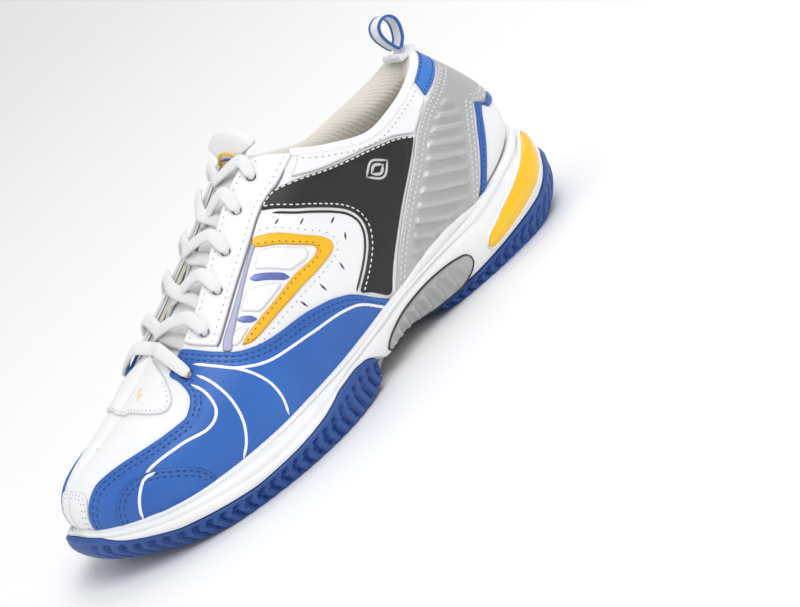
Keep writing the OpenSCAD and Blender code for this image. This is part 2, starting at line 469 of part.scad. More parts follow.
// ---- pull tab ----
HINGE = [-124.5, 0, 103.4];
module tab_anchor() color("#2b6ac0") translate(scaled(HINGE)) rotate([90, 0, 0])
    difference() {
        linear_extrude(tab_w + 5, center = true)
            polygon([[-5.4, -4.3], [5.4, -4.3], [4.9, -0.4], [-4.9, -0.4]]);
        cylinder(r = bead_r + run_gap, h = tab_w + 8, center = true, $fn = 40);
    }
TAB = [[-4.4, 4], [-5.6, 7], [-6.3, 10.5], [-5.4, 14], [-2.6, 16.4], [1, 16.6], [4.2, 14.8],
    [5.4, 11.5], [4.9, 8], [3.6, 5]];
module pull_tab() color("#f2f4f6") translate(scaled(HINGE)) rotate([90, 0, 0])
    fuse() {
        cylinder(r = bead_r, h = tab_w, center = true, $fn = 40);
        linear_extrude(tab_w, center = true) {
            for (i = [0:len(TAB) - 2]) hull() {
                translate(TAB[i] * tab_h / 17) circle(d = tab_t, $fn = 12);
                translate(TAB[i + 1] * tab_h / 17) circle(d = tab_t, $fn = 12);
            }
            for (p = [TAB[0], TAB[len(TAB) - 1]]) hull() {
                translate(p * tab_h / 17) circle(d = tab_t, $fn = 12);
                translate([sign(p[0]) * 0.6, 1]) circle(d = tab_t, $fn = 12);
            }
        }
    }

// ---- lace: one cord, in and out of every eyelet, both ends tucked inside ----
over = over_hi + lace_d / 2 + 0.35;
under = lin_lo - lace_d / 2 - 0.3;
function eye(side, k, off, dt = 0) = on(side, EYELETS[k][0], EYELETS[k][1] + dt, off);
// one climb from eyelet k-1 on one side to eyelet k on the other
function climb(side, k, up) =
    let (e0 = EYELETS[k - 1][0], e1 = EYELETS[k][0], q = mix(e0, e1, 0.25), w = mix(e0, e1, 0.85)) [
        eye(side, k - 1, under),
        on(side, q, throat(q) + 0.035, under + 0.3),
        cross_at(k, up),
        on(-side, w, throat(w) + 0.01, over + 0.3),
        eye(-side, k, over, 0.012),
        eye(-side, k, over_lo, 0)];
CROSS_X = [0, 57, 41, 25, 9, -7];
CROSS_Z = [0, 71.5, 81.5, 91.5, 100, 107.5];
function cross_at(k, up) = scaled([CROSS_X[k], 0, CROSS_Z[k] + up]);
function half_route(side) = concat(
    [eye(side, 0, over, 0.012), eye(side, 0, over_lo, 0)],
    [for (k = [1:5]) let (d = k % 2 == 1 ? side : -side, up = side > 0 ? 0 : lace_d + 0.5)
        for (p = climb(d, k, up)) p],
    [eye(-side, 5, under), on(-side, 6.7, 0.78, under), on(-side, 6.5, 0.66, under - 0.2)]);
BAR = [on(MED, 9.7, 0.8, over + 0.8), scaled([64, -1, 69.5]), on(LAT, 9.7, 0.8, over + 0.8)];
ROUTE = concat([for (i = [len(half_route(MED)) - 1:-1:0]) half_route(MED)[i]], BAR, half_route(LAT));
module tube(P, r, n = 8) {
    N = len(P);
    function tan_at(i) = unit(P[min(N - 1, i + 1)] - P[max(0, i - 1)]);
    function ring(i) = let (t = tan_at(i), a = unit(cross(t, [1, 0.15, 0.2])), b = cross(t, a))
        [for (j = [0:n - 1]) P[i] + r * (cos(360 * j / n) * a + sin(360 * j / n) * b)];
    polyhedron(points = [for (i = [0:N - 1]) for (p = ring(i)) p], faces = concat(
        [[for (j = [0:n - 1]) j]],
        [for (i = [0:N - 2]) for (j = [0:n - 1])
            [i * n + j, (i + 1) * n + j, (i + 1) * n + (j + 1) % n, i * n + (j + 1) % n]],
        [[for (j = [n - 1:-1:0]) (N - 1) * n + j]]), convexity = 20);
}
module lace() color("#fbfbfb") tube(ROUTE, lace_d / 2);

outsole_forefoot();
outsole_heel();
midsole();
forefoot_insert();
pivot_disc();
shank_plate();
arch_window_lateral();
arch_window_medial();
heel_insert_lateral();
heel_insert_medial();
strobel_board();
sockliner();
quarter_lining();
vamp_lining();
vamp();
toe_cap();
quarter_lateral();
quarter_medial();
heel_back();
collar_panel_lateral();
collar_panel_medial();
eyestay_lateral();
eyestay_medial();
mudguard_lateral();
mudguard_medial();
saddle_lateral();
saddle_medial();
heel_strap_lateral();
heel_strap_medial();
heel_trim();
achilles_patch();
stripe_lateral();
stripe_medial();
side_window_lateral();
side_window_medial();
throat_patch();
toe_rand_lateral();
toe_rand_medial();
collar_padding();
tongue();
tongue_badge();
tab_anchor();
pull_tab();
lace();
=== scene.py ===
"""Left court shoe: leather, mesh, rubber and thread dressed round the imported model.

All shapes are worked out in millimetres on the same foot form as the model and
turned into metres when a mesh is made.
"""
import logging
import math
from dataclasses import dataclass, field
from enum import Enum
from typing import Callable, Optional, Sequence

import bpy
import numpy as np
from mathutils import Matrix
from mathutils.geometry import delaunay_2d_cdt


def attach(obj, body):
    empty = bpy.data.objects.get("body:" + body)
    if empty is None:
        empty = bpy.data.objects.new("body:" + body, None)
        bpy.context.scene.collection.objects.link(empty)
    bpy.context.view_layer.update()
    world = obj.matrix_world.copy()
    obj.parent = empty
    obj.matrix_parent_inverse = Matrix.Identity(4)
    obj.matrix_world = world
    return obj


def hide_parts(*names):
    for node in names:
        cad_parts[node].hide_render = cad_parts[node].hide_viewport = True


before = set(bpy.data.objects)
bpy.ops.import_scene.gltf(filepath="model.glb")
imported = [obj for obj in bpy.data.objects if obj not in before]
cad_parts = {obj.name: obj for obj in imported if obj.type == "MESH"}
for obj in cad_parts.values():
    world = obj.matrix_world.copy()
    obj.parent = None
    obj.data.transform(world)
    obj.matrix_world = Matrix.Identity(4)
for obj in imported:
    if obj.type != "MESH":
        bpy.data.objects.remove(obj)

LOG = logging.getLogger("court_shoe")
MM = 0.001
SHIFT = np.array([7.0, -3.0, 0.0])
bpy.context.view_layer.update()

# Foot form, heel back to toe front: feather point, crest point, bulge, dome share, roundness.
LAST_OUTER = [
    [-144, 0, 46, -129, 0, 98, 5, 0, 1], [-139, 18, 44, -123, 11, 96, 5, 0, 1],
    [-121, 30, 39, -110, 19, 92, 5, 0, 1], [-94, 34, 33, -92, 26, 89, 4, 0, 1],
    [-62, 35, 29, -69, 30, 88, 2.5, 0, 1], [-30, 37, 27, -46, 29, 97, 2, 0.1, 1],
    [-5, 41, 24, -28, 23, 108, 2, 0.3, 1], [14, 44, 22, -16, 8, 114, 2, 0.5, 1],
    [34, 46, 21, 8, 0, 104, 2, 0.7, 1], [60, 46, 20, 38, 0, 85, 2, 0.9, 1],
    [88, 40, 20, 68, -2, 65, 2, 1, 1], [110, 30, 21, 88, -6, 55, 2, 1, 0.95],
    [126, 16, 24, 102, -9, 50, 2, 1, 0.9], [133, 4, 26, 108, -10, 48, 2, 1, 0.9],
    [135, -8, 27, 110, -10, 47, 2, 1, 0.9]]
LAST_INNER = [
    [-144, 0, 46, -129, 0, 98, 5, 0, 1], [-139, -17, 44, -123, -11, 96, 5, 0, 1],
    [-121, -28, 39, -110, -19, 92, 5, 0, 1], [-94, -31, 33, -92, -26, 89, 4, 0, 1],
    [-62, -30, 30, -69, -29, 88, 2.5, 0, 1], [-30, -29, 29, -46, -28, 97, 1, 0.1, 1],
    [-5, -31, 26, -28, -22, 108, 1, 0.3, 1.1], [14, -35, 23, -16, -8, 114, 1, 0.5, 1.3],
    [34, -40, 21, 8, 0, 104, 1, 0.7, 1.35], [60, -44, 20, 38, 0, 85, 1, 0.9, 1.3],
    [88, -44, 20, 68, -2, 65, 1, 1, 1.15], [110, -38, 21, 88, -6, 55, 1.5, 1, 1.05],
    [126, -27, 24, 102, -9, 50, 2, 1, 0.95], [133, -18, 26, 108, -10, 48, 2, 1, 0.9],
    [135, -8, 27, 110, -10, 47, 2, 1, 0.9]]
# Sole wall on the same stations: top edge, middle, ground edge.
WALL_OUTER = [
    [-147, 0, 45.5, -157, 0, 20, -148, 0, 3], [-142, 20, 43.5, -152, 21, 19, -143, 18, 2],
    [-123, 33, 38.5, -132, 36, 18, -124, 32, 0], [-95, 37.5, 32.5, -100, 40, 17, -95, 36, 0],
    [-63, 38.5, 28.5, -64, 38, 17, -62, 34, 1], [-31, 40.5, 26.5, -31, 39, 17, -30, 33, 9],
    [-5, 44.5, 23.5, -5, 46, 15, -4, 44, 5], [14, 47.5, 21.5, 14, 52, 13, 14, 50, 1],
    [35, 49.5, 20.5, 36, 57, 12, 36, 54, 0], [62, 49.5, 19.5, 64, 56, 12, 64, 53, 0],
    [91, 43.5, 19.5, 94, 48, 13, 92, 45, 0], [113.5, 33, 20.5, 117, 36, 15, 112, 33, 2.5],
    [129, 18, 23.5, 133, 19, 17, 126, 16, 5.5], [136.5, 4, 25.5, 141, 4, 19, 132, 3, 7],
    [138.5, -9, 26.5, 143, -9, 19, 134, -8, 7.5]]
WALL_INNER = [
    [-147, 0, 45.5, -157, 0, 20, -148, 0, 3], [-142, -19, 43.5, -152, -20, 19, -143, -17, 2],
    [-123, -31, 38.5, -132, -34, 18, -124, -30, 0], [-95, -34, 32.5, -100, -37, 17, -95, -33, 0],
    [-63, -33.5, 29.5, -64, -33, 18, -62, -29, 1], [-31, -32.5, 28.5, -31, -31, 19, -30, -25, 11],
    [-5, -34.5, 25.5, -5, -34, 17, -4, -30, 7], [14, -38.5, 22.5, 14, -40, 14, 14, -37, 2],
    [35, -43.5, 20.5, 36, -47, 12, 36, -44, 0], [62, -47.5, 19.5, 64, -51, 12, 64, -48, 0],
    [91, -47.5, 19.5, 94, -51, 13, 92, -48, 0], [113.5, -41, 20.5, 117, -45, 15, 112, -41, 2.5],
    [129, -30, 23.5, 133, -32, 17, 126, -28, 5.5], [136.5, -20, 25.5, 141, -21, 19, 132, -18, 7],
    [138.5, -9, 26.5, 143, -9, 19, 134, -8, 7.5]]
TOE = 14.0

# Millimetres from a cut edge at which no wear shows.
UNWORN = 9.0

Points = Sequence[Sequence[float]]
Array = np.ndarray
Tree = bpy.types.NodeTree
Socket = bpy.types.NodeSocket


class Side(Enum):
    """The two sides of a left shoe."""

    OUTER = 1
    INNER = -1

    @property
    def label(self) -> str:
        """Name used in the model's node names."""
        return "lateral" if self is Side.OUTER else "medial"


class Slot(Enum):
    """Finish slots of the record."""

    WHITE_LEATHER = "white_leather"
    BLUE_LEATHER = "blue_leather"
    BLACK_LEATHER = "black_leather"
    SILVER_LEATHER = "silver_leather"
    YELLOW_LEATHER = "yellow_leather"
    WINDOW_FILM = "window_film"
    MESH_LINING = "mesh_lining"
    WHITE_FABRIC = "white_fabric"
    LACE_FABRIC = "lace_fabric"
    WHITE_FOAM = "white_foam"
    BLUE_RUBBER = "blue_rubber"
    YELLOW_RUBBER = "yellow_rubber"
    YELLOW_GLOSS = "yellow_gloss"
    GREY_TPU = "grey_tpu"
    BOARD = "board"


class Surface(Enum):
    """What the surface of a finish is made like."""

    LEATHER = "leather"
    RUBBER = "rubber"
    FOAM = "foam"
    WEAVE = "weave"
    MESH = "mesh"
    THREAD = "thread"
    GLOSS = "gloss"


def unit(v: Array) -> Array:
    """Vectors of length one along the last axis."""
    return v / np.maximum(np.linalg.norm(v, axis=-1, keepdims=True), 1e-9)


def lookup(x: Array, table: Points) -> Array:
    """Straight-line table value at x."""
    return np.interp(x, [p[0] for p in table], [p[1] for p in table])


def curve(points: Points, steps: int = 10) -> Array:
    """Smooth curve through a run of points.

    Args:
        points: Points that the curve passes through.
        steps: Samples between two points.

    Returns:
        The sampled points.
    """
    p = np.asarray(points, float)
    if len(p) < 3:
        f = np.linspace(0, 1, steps + 1)[:, None]
        return p[0] * (1 - f) + p[-1] * f
    ends = np.vstack([2 * p[0] - p[1], p, 2 * p[-1] - p[-2]])
    f = (np.arange(steps) / steps)[:, None]
    out = []
    for i in range(len(p) - 1):
        a, b, c, d = ends[i:i + 4]
        out.append(0.5 * (2 * b + (c - a) * f + (2 * a - 5 * b + 4 * c - d) * f ** 2
                          + (3 * b - a - 3 * c + d) * f ** 3))
    return np.vstack(out + [p[-1:]])


def smooth_step(x: Array) -> Array:
    """Soft ramp from 0 to 1."""
    x = np.clip(x, 0, 1)
    return x * x * (3 - 2 * x)


class Last:
    """Foot form that every panel lies on, with the sole wall under it."""

    STEP = 0.02

    def __init__(self) -> None:
        """Lengthen each table by one row of the other side at both ends."""
        self._form = self._extend(LAST_OUTER, LAST_INNER)
        self._sole = self._extend(WALL_OUTER, WALL_INNER)

    @staticmethod
    def _extend(outer: Points, inner: Points) -> dict:
        """Both sides' rows with a neighbour past each end."""
        o, i = np.asarray(outer, float), np.asarray(inner, float)
        return {Side.OUTER: np.vstack([i[1:2], o, i[-2:-1]]), Side.INNER: np.vstack([o[1:2], i, o[-2:-1]])}

    @staticmethod
    def _row(table: Array, s: Array) -> Array:
        """Smooth row at any station.

        Args:
            table: One side's rows.
            s: Stations.

        Returns:
            A row for each station.
        """
        i = np.clip(np.floor(s), 0, TOE - 1).astype(int)
        f = (s - i)[..., None]
        a, b, c, d = table[i], table[i + 1], table[i + 2], table[i + 3]
        return 0.5 * (2 * b + (c - a) * f + (2 * a - 5 * b + 4 * c - d) * f ** 2
                      + (3 * b - a - 3 * c + d) * f ** 3)

    def _plan_out(self, side: Side, s: Array) -> Array:
        """Outward direction in plan.

        Args:
            side: Side of the shoe.
            s: Stations.

        Returns:
            A flat unit vector for each station.
        """
        g = side.value
        d = self._row(self._form[side], np.minimum(TOE, s + 0.05))[..., :2] \
            - self._row(self._form[side], np.maximum(0, s - 0.05))[..., :2]
        d = np.where((s < 0.05)[..., None], [0.0, g], d)
        d = np.where((s > TOE - 0.05)[..., None], [0.0, -g], d)
        return unit(np.stack([-d[..., 1] * g, d[..., 0] * g], -1))

    def _facing(self, at: Callable, side: Side, s: Array, t: Array, crest: Array) -> Array:
        """Outward direction of a surface.

        Args:
            at: Function of the surface.
            side: Side of the shoe.
            s: Stations.
            t: Height shares.
            crest: Which points lie where both sides meet on top.

        Returns:
            A unit vector for each point, flat across where the sides meet.
        """
        e = self.STEP
        ds = at(side, np.minimum(TOE, s + e), t) - at(side, np.maximum(0, s - e), t)
        dt = at(side, s, np.minimum(1, t + e)) - at(side, s, np.maximum(0, t - e))
        n = unit(np.cross(ds, dt) * -side.value)
        seam = (s < 0.01) | (s > TOE - 0.01) | crest
        return unit(np.where(seam[..., None], n * np.array([1.0, 0.0, 1.0]), n))

    def skin(self, side: Side, s: Array, t: Array) -> Array:
        """Points on the form.

        Args:
            side: Side of the shoe.
            s: Stations.
            t: Height shares, 0 at the feather line and 1 at the crest.

        Returns:
            The points in millimetres.
        """
        s, t = np.broadcast_arrays(np.asarray(s, float), np.asarray(t, float))
        k = self._row(self._form[side], s)
        n = self._plan_out(side, s)
        ph = np.clip(t, 0, 1) * math.pi / 2
        a = 1 - np.maximum(np.cos(ph), 0) ** k[..., 8]
        c = (1 - k[..., 7]) * t + k[..., 7] * np.sin(ph) ** k[..., 8]
        b = k[..., 6] * np.sin(math.pi * np.clip(t, 0, 1) ** 0.6)
        return np.stack([k[..., 0] + (k[..., 3] - k[..., 0]) * a + n[..., 0] * b,
                         k[..., 1] + (k[..., 4] - k[..., 1]) * a + n[..., 1] * b,
                         k[..., 2] + (k[..., 5] - k[..., 2]) * c], -1)

    def normal(self, side: Side, s: Array, t: Array) -> Array:
        """Outward direction of the form.

        Args:
            side: Side of the shoe.
            s: Stations.
            t: Height shares.

        Returns:
            A unit vector for each point.
        """
        s, t = np.broadcast_arrays(np.asarray(s, float), np.asarray(t, float))
        return self._facing(self.skin, side, s, t, (t > 0.995) & (s > 7.9))

    def on(self, side: Side, s: Array, t: Array, off: Array) -> Array:
        """Point at a distance off the form."""
        return self.skin(side, s, t) + self.normal(side, s, t) * np.asarray(off, float)[..., None]

    def wall(self, side: Side, s: Array, v: Array) -> Array:
        """Points on the sole wall.

        Args:
            side: Side of the shoe.
            s: Stations.
            v: Height shares, 0 at the ground edge and 1 at the top edge.

        Returns:
            The points in millimetres.
        """
        s, v = np.broadcast_arrays(np.asarray(s, float), np.asarray(v, float))
        k = self._row(self._sole[side], s)
        v = v[..., None]
        return (k[..., 6:9] * (1 - v) * (1 - 2 * v) + k[..., 3:6] * 4 * v * (1 - v)
                + k[..., 0:3] * v * (2 * v - 1))

    def wall_normal(self, side: Side, s: Array, v: Array) -> Array:
        """Outward direction of the sole wall.

        Args:
            side: Side of the shoe.
            s: Stations.
            v: Height shares.

        Returns:
            A unit vector for each point.
        """
        s, v = np.broadcast_arrays(np.asarray(s, float), np.asarray(v, float))
        return self._facing(self.wall, side, s, v, np.zeros(s.shape, bool))

    def on_wall(self, side: Side, s: Array, v: Array, off: Array) -> Array:
        """Point at a distance off the sole wall."""
        return self.wall(side, s, v) + self.wall_normal(side, s, v) * np.asarray(off, float)[..., None]


LAST = Last()


@dataclass(frozen=True)
class Finish:
    """One material with its colour, grain and gloss."""

    name: str
    slot: Slot
    surface: Surface
    color: tuple
    shade: tuple
    roughness: float = 0.5
    grain: float = 1.0
    coat: float = 0.0
    worn: Optional[tuple] = None
    metal: float = 0.0

    def material(self) -> bpy.types.Material:
        """The material, made once and shared."""
        known = bpy.data.materials.get(self.name)
        return known or self._build()

    def _build(self) -> bpy.types.Material:
        """Build the node tree.

        Returns:
            The new material.
        """
        mat = bpy.data.materials.new(self.name)
        mat.use_nodes = True
        tree = mat.node_tree
        shader = tree.nodes["Principled BSDF"]
        shader.inputs["Metallic"].default_value = self.metal
        shader.inputs["Coat Weight"].default_value = self.coat
        shader.inputs["Coat Roughness"].default_value = 0.12
        shader.inputs["IOR"].default_value = 1.48
        if self.surface in (Surface.WEAVE, Surface.MESH, Surface.THREAD):
            shader.inputs["Sheen Weight"].default_value = 0.35
            shader.inputs["Sheen Roughness"].default_value = 0.5
        place = tree.nodes.new("ShaderNodeTexCoord").outputs["Object"]
        cloud = self._noise(tree, place, 26.0, 3.0)
        tint = tree.nodes.new("ShaderNodeMix")
        tint.data_type = "RGBA"
        tint.inputs[6].default_value = (*self.color, 1)
        tint.inputs[7].default_value = (*self.shade, 1)
        tree.links.new(self._ramp(tree, cloud, 0.35, 0.7), tint.inputs[0])
        colour = tint.outputs[2]
        if self.worn:
            colour = self._wear(tree, colour)
        tree.links.new(colour, shader.inputs["Base Color"])
        rough = tree.nodes.new("ShaderNodeMapRange")
        rough.inputs["To Min"].default_value = max(0.05, self.roughness - 0.08)
        rough.inputs["To Max"].default_value = min(1.0, self.roughness + 0.08)
        tree.links.new(self._noise(tree, place, 180.0, 2.0), rough.inputs["Value"])
        tree.links.new(rough.outputs["Result"], shader.inputs["Roughness"])
        bump = tree.nodes.new("ShaderNodeBump")
        bump.inputs["Distance"].default_value = 0.0006
        bump.inputs["Strength"].default_value = min(1.0, 0.35 * self.grain)
        tree.links.new(self._relief(tree, place), bump.inputs["Height"])
        tree.links.new(bump.outputs["Normal"], shader.inputs["Normal"])
        return mat

    def _wear(self, tree: Tree, colour: Socket) -> Socket:
        """Tint the colour close to cut edges.

        Args:
            tree: Node tree of the material.
            colour: Socket of the clean colour.

        Returns:
            Socket of the tinted colour.
        """
        edge = tree.nodes.new("ShaderNodeAttribute")
        edge.attribute_name = "edge"
        near = tree.nodes.new("ShaderNodeMapRange")
        near.inputs["From Max"].default_value = 1.1
        near.inputs["To Min"].default_value = 0.75
        near.inputs["To Max"].default_value = 0.0
        tree.links.new(edge.outputs["Fac"], near.inputs["Value"])
        mix = tree.nodes.new("ShaderNodeMix")
        mix.data_type = "RGBA"
        mix.inputs[7].default_value = (*self.worn, 1)
        tree.links.new(near.outputs["Result"], mix.inputs[0])
        tree.links.new(colour, mix.inputs[6])
        return mix.outputs[2]

    @staticmethod
    def _noise(tree: Tree, place: Socket, scale: float, detail: float) -> Socket:
        """Add a noise.

        Args:
            tree: Node tree of the material.
            place: Socket of the place on the piece.
            scale: Cells a metre.
            detail: Octaves.

        Returns:
            Socket of the noise's value.
        """
        tex = tree.nodes.new("ShaderNodeTexNoise")
        tex.inputs["Scale"].default_value = scale
        tex.inputs["Detail"].default_value = detail
        tree.links.new(place, tex.inputs["Vector"])
        return tex.outputs["Fac"]

    @staticmethod
    def _ramp(tree: Tree, value: Socket, low: float, high: float) -> Socket:
        """Spread a value over 0 to 1.

        Args:
            tree: Node tree of the material.
            value: Socket of the value.
            low: Value that becomes 0.
            high: Value that becomes 1.

        Returns:
            Socket of the result.
        """
        ramp = tree.nodes.new("ShaderNodeMapRange")
        ramp.inputs["From Min"].default_value = low
        ramp.inputs["From Max"].default_value = high
        tree.links.new(value, ramp.inputs["Value"])
        return ramp.outputs["Result"]

    def _relief(self, tree: Tree, place: Socket) -> Socket:
        """Add the surface's own grain.

        Args:
            tree: Node tree of the material.
            place: Socket of the place on the piece.

        Returns:
            Socket of the grain's height.
        """
        if self.surface is Surface.LEATHER:
            cells = tree.nodes.new("ShaderNodeTexVoronoi")
            cells.feature = "DISTANCE_TO_EDGE"
            cells.inputs["Scale"].default_value = 1100.0
            tree.links.new(place, cells.inputs["Vector"])
            soft = tree.nodes.new("ShaderNodeMath")
            soft.operation = "MULTIPLY_ADD"
            tree.links.new(self._ramp(tree, cells.outputs["Distance"], 0.0, 0.25), soft.inputs[0])
            soft.inputs[1].default_value = 0.35
            tree.links.new(self._noise(tree, place, 420.0, 4.0), soft.inputs[2])
            return soft.outputs[0]
        if self.surface in (Surface.WEAVE, Surface.MESH, Surface.THREAD):
            uv = tree.nodes.new("ShaderNodeUVMap")
            uv.uv_map = "cloth"
            across = self._bands(tree, uv.outputs["UV"], "X")
            along = self._bands(tree, uv.outputs["UV"], "Y" if self.surface is Surface.WEAVE else "DIAGONAL")
            mix = tree.nodes.new("ShaderNodeMath")
            mix.operation = "MULTIPLY" if self.surface is Surface.MESH else "MAXIMUM"
            tree.links.new(across, mix.inputs[0])
            tree.links.new(along, mix.inputs[1])
            return mix.outputs[0]
        if self.surface is Surface.FOAM:
            return self._noise(tree, place, 700.0, 3.0)
        if self.surface is Surface.RUBBER:
            return self._noise(tree, place, 520.0, 5.0)
        return self._noise(tree, place, 60.0, 1.0)

    def _bands(self, tree: Tree, place: Socket, direction: str) -> Socket:
        """Add threads that run one way over the cloth map.

        Args:
            tree: Node tree of the material.
            place: Socket of the cloth map.
            direction: Way that the bands follow one another.

        Returns:
            Socket of the threads' height.
        """
        tex = tree.nodes.new("ShaderNodeTexWave")
        tex.bands_direction = direction
        tex.inputs["Scale"].default_value = {Surface.MESH: 2.6, Surface.THREAD: 9.0}.get(self.surface, 3.4)
        tex.inputs["Distortion"].default_value = 0.4
        tree.links.new(place, tex.inputs["Vector"])
        return tex.outputs["Fac"]


WHITE = Finish("white_leather_grain", Slot.WHITE_LEATHER, Surface.LEATHER, (0.87, 0.875, 0.885),
               (0.82, 0.83, 0.845), 0.42, 0.5, 0.05, (0.62, 0.62, 0.63))
BLUE = Finish("blue_leather_grain", Slot.BLUE_LEATHER, Surface.LEATHER, (0.022, 0.135, 0.5),
              (0.018, 0.11, 0.43), 0.4, 0.6, 0.08, (0.012, 0.075, 0.3))
SKY = Finish("blue_patch_leather", Slot.BLUE_LEATHER, Surface.LEATHER, (0.035, 0.19, 0.62),
             (0.028, 0.16, 0.55), 0.42, 0.6, 0.05, (0.015, 0.09, 0.36))
BLACK = Finish("black_leather_grain", Slot.BLACK_LEATHER, Surface.LEATHER, (0.012, 0.0105, 0.0105),
               (0.016, 0.014, 0.014), 0.46, 0.6, 0.0, (0.025, 0.025, 0.025))
SILVER = Finish("silver_leather_grain", Slot.SILVER_LEATHER, Surface.LEATHER, (0.45, 0.45, 0.46),
                (0.5, 0.5, 0.505), 0.36, 0.45, 0.1, (0.62, 0.6, 0.6), 0.25)
YELLOW = Finish("yellow_leather_grain", Slot.YELLOW_LEATHER, Surface.LEATHER, (0.9, 0.5, 0.004),
                (0.86, 0.46, 0.004), 0.4, 0.5, 0.08, (0.62, 0.29, 0.004))
FILM = Finish("silver_film", Slot.WINDOW_FILM, Surface.GLOSS, (0.3, 0.31, 0.45), (0.42, 0.43, 0.55), 0.38, 0.4, 0.0,
              None, 0.1)
FILM_BLUE = Finish("blue_film", Slot.WINDOW_FILM, Surface.GLOSS, (0.11, 0.15, 0.42), (0.14, 0.18, 0.46), 0.3,
                   0.4, 0.2, None, 0.2)
MESH = Finish("cream_mesh", Slot.MESH_LINING, Surface.MESH, (0.76, 0.72, 0.64), (0.72, 0.68, 0.6), 0.85, 1.6)
KNIT = Finish("cream_edge_knit", Slot.MESH_LINING, Surface.WEAVE, (0.9, 0.89, 0.87), (0.87, 0.86, 0.84), 0.8, 0.8)
FOOTBED = Finish("footbed_cloth", Slot.WHITE_FABRIC, Surface.WEAVE, (0.8, 0.8, 0.79), (0.74, 0.74, 0.74), 0.85, 1.0)
LACE = Finish("white_flat_lace", Slot.LACE_FABRIC, Surface.THREAD, (0.88, 0.88, 0.885), (0.84, 0.84, 0.85), 0.75, 1.2)
WEBBING = Finish("white_webbing", Slot.WHITE_FABRIC, Surface.WEAVE, (0.86, 0.87, 0.88), (0.8, 0.81, 0.83), 0.8, 1.2)
FOAM = Finish("white_moulded_foam", Slot.WHITE_FOAM, Surface.FOAM, (0.86, 0.865, 0.87), (0.81, 0.815, 0.82), 0.45,
              0.35, 0.0)
RUBBER = Finish("blue_rubber_tread", Slot.BLUE_RUBBER, Surface.RUBBER, (0.022, 0.082, 0.31), (0.018, 0.07, 0.27),
                0.48, 0.5)
GOLD = Finish("yellow_rubber_insert", Slot.YELLOW_RUBBER, Surface.RUBBER, (0.9, 0.53, 0.006), (0.85, 0.48, 0.006),
              0.42, 0.4)
AMBER = Finish("yellow_gloss_insert", Slot.YELLOW_GLOSS, Surface.GLOSS, (0.93, 0.56, 0.006), (0.9, 0.5, 0.006), 0.18,
               0.15, 0.5)
SMOKE = Finish("grey_translucent_tpu", Slot.GREY_TPU, Surface.GLOSS, (0.36, 0.37, 0.37), (0.42, 0.42, 0.42), 0.2,
               0.2, 0.4)
INSOLE = Finish("board_fibre", Slot.BOARD, Surface.FOAM, (0.62, 0.6, 0.55), (0.58, 0.56, 0.5), 0.8, 0.8)
THREAD_WHITE = Finish("white_thread", Slot.LACE_FABRIC, Surface.THREAD, (0.86, 0.86, 0.87), (0.8, 0.8, 0.8), 0.6)
THREAD_NAVY = Finish("navy_thread", Slot.BLUE_LEATHER, Surface.THREAD, (0.006, 0.022, 0.12), (0.006, 0.03, 0.14), 0.6)
THREAD_GREY = Finish("grey_thread", Slot.SILVER_LEATHER, Surface.THREAD, (0.3, 0.3, 0.33), (0.36, 0.36, 0.38), 0.6)
THREAD_DARK = Finish("dark_thread", Slot.BLACK_LEATHER, Surface.THREAD, (0.09, 0.06, 0.03), (0.11, 0.07, 0.03), 0.6)
INK_WHITE = Finish("white_print", Slot.WHITE_LEATHER, Surface.GLOSS, (0.88, 0.88, 0.9), (0.85, 0.85, 0.88), 0.4, 0.2)
INK_BLACK = Finish("black_print", Slot.BLACK_LEATHER, Surface.GLOSS, (0.02, 0.02, 0.022), (0.03, 0.03, 0.03), 0.45,
                   0.2)
# Grey strip colour: painted shade along the eyestay's raised outer edge.
EYESTAY_EDGE_SHADE = Finish("edge_paint", Slot.SILVER_LEATHER, Surface.GLOSS, (0.16, 0.16, 0.19), (0.22, 0.22, 0.26), 0.5, 0.3)
INK_BLUE = Finish("blue_print", Slot.BLUE_LEATHER, Surface.GLOSS, (0.05, 0.09, 0.42), (0.06, 0.1, 0.45), 0.4, 0.2)
INK_ORANGE = Finish("orange_print", Slot.YELLOW_LEATHER, Surface.GLOSS, (0.9, 0.5, 0.02), (0.85, 0.45, 0.02), 0.4,
                    0.2)


def make_piece(name: str, finish: Finish, verts: Array, faces: list, body: str = "shoe",
               cloth: Optional[Array] = None, edge: Optional[Array | float] = None,
               sharp: float = 50.0, replaces: Sequence[str] = ()) -> bpy.types.Object:
    """Turn points in millimetres into a riding, dressed object.

    Args:
        name: Name of the piece.
        finish: Its finish.
        verts: Points in millimetres on the foot form's axes.
        faces: Corner numbers of each face.
        body: Body that it rides on.
        cloth: Two cloth coordinates for each point, in centimetres.
        edge: Distance of each point from a cut edge, in millimetres.
        sharp: Angle in degrees above which an edge stays crisp.
        replaces: Model nodes that the piece stands for.

    Returns:
        The new object.
    """
    mesh = bpy.data.meshes.new(name)
    mesh.from_pydata(((verts + SHIFT) * MM).tolist(), [], faces)
    if cloth is not None:
        layer = mesh.uv_layers.new(name="cloth")
        corner = np.empty(len(mesh.loops), np.int32)
        mesh.loops.foreach_get("vertex_index", corner)
        layer.data.foreach_set("uv", np.asarray(cloth, np.float32)[corner].ravel())
    if edge is not None:
        worn = mesh.attributes.new("edge", "FLOAT", "POINT")
        worn.data.foreach_set("value", np.full(len(verts), edge, np.float32))
    mesh.polygons.foreach_set("use_smooth", np.ones(len(mesh.polygons), bool))
    mesh.update()
    mesh.set_sharp_from_angle(angle=math.radians(sharp))
    mesh.materials.append(finish.material())
    obj = bpy.data.objects.new(name, mesh)
    bpy.context.collection.objects.link(obj)
    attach(obj, body)
    if replaces:
        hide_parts(*replaces)
    LOG.info("%s: %d points, on %s", name, len(verts), body)
    return obj


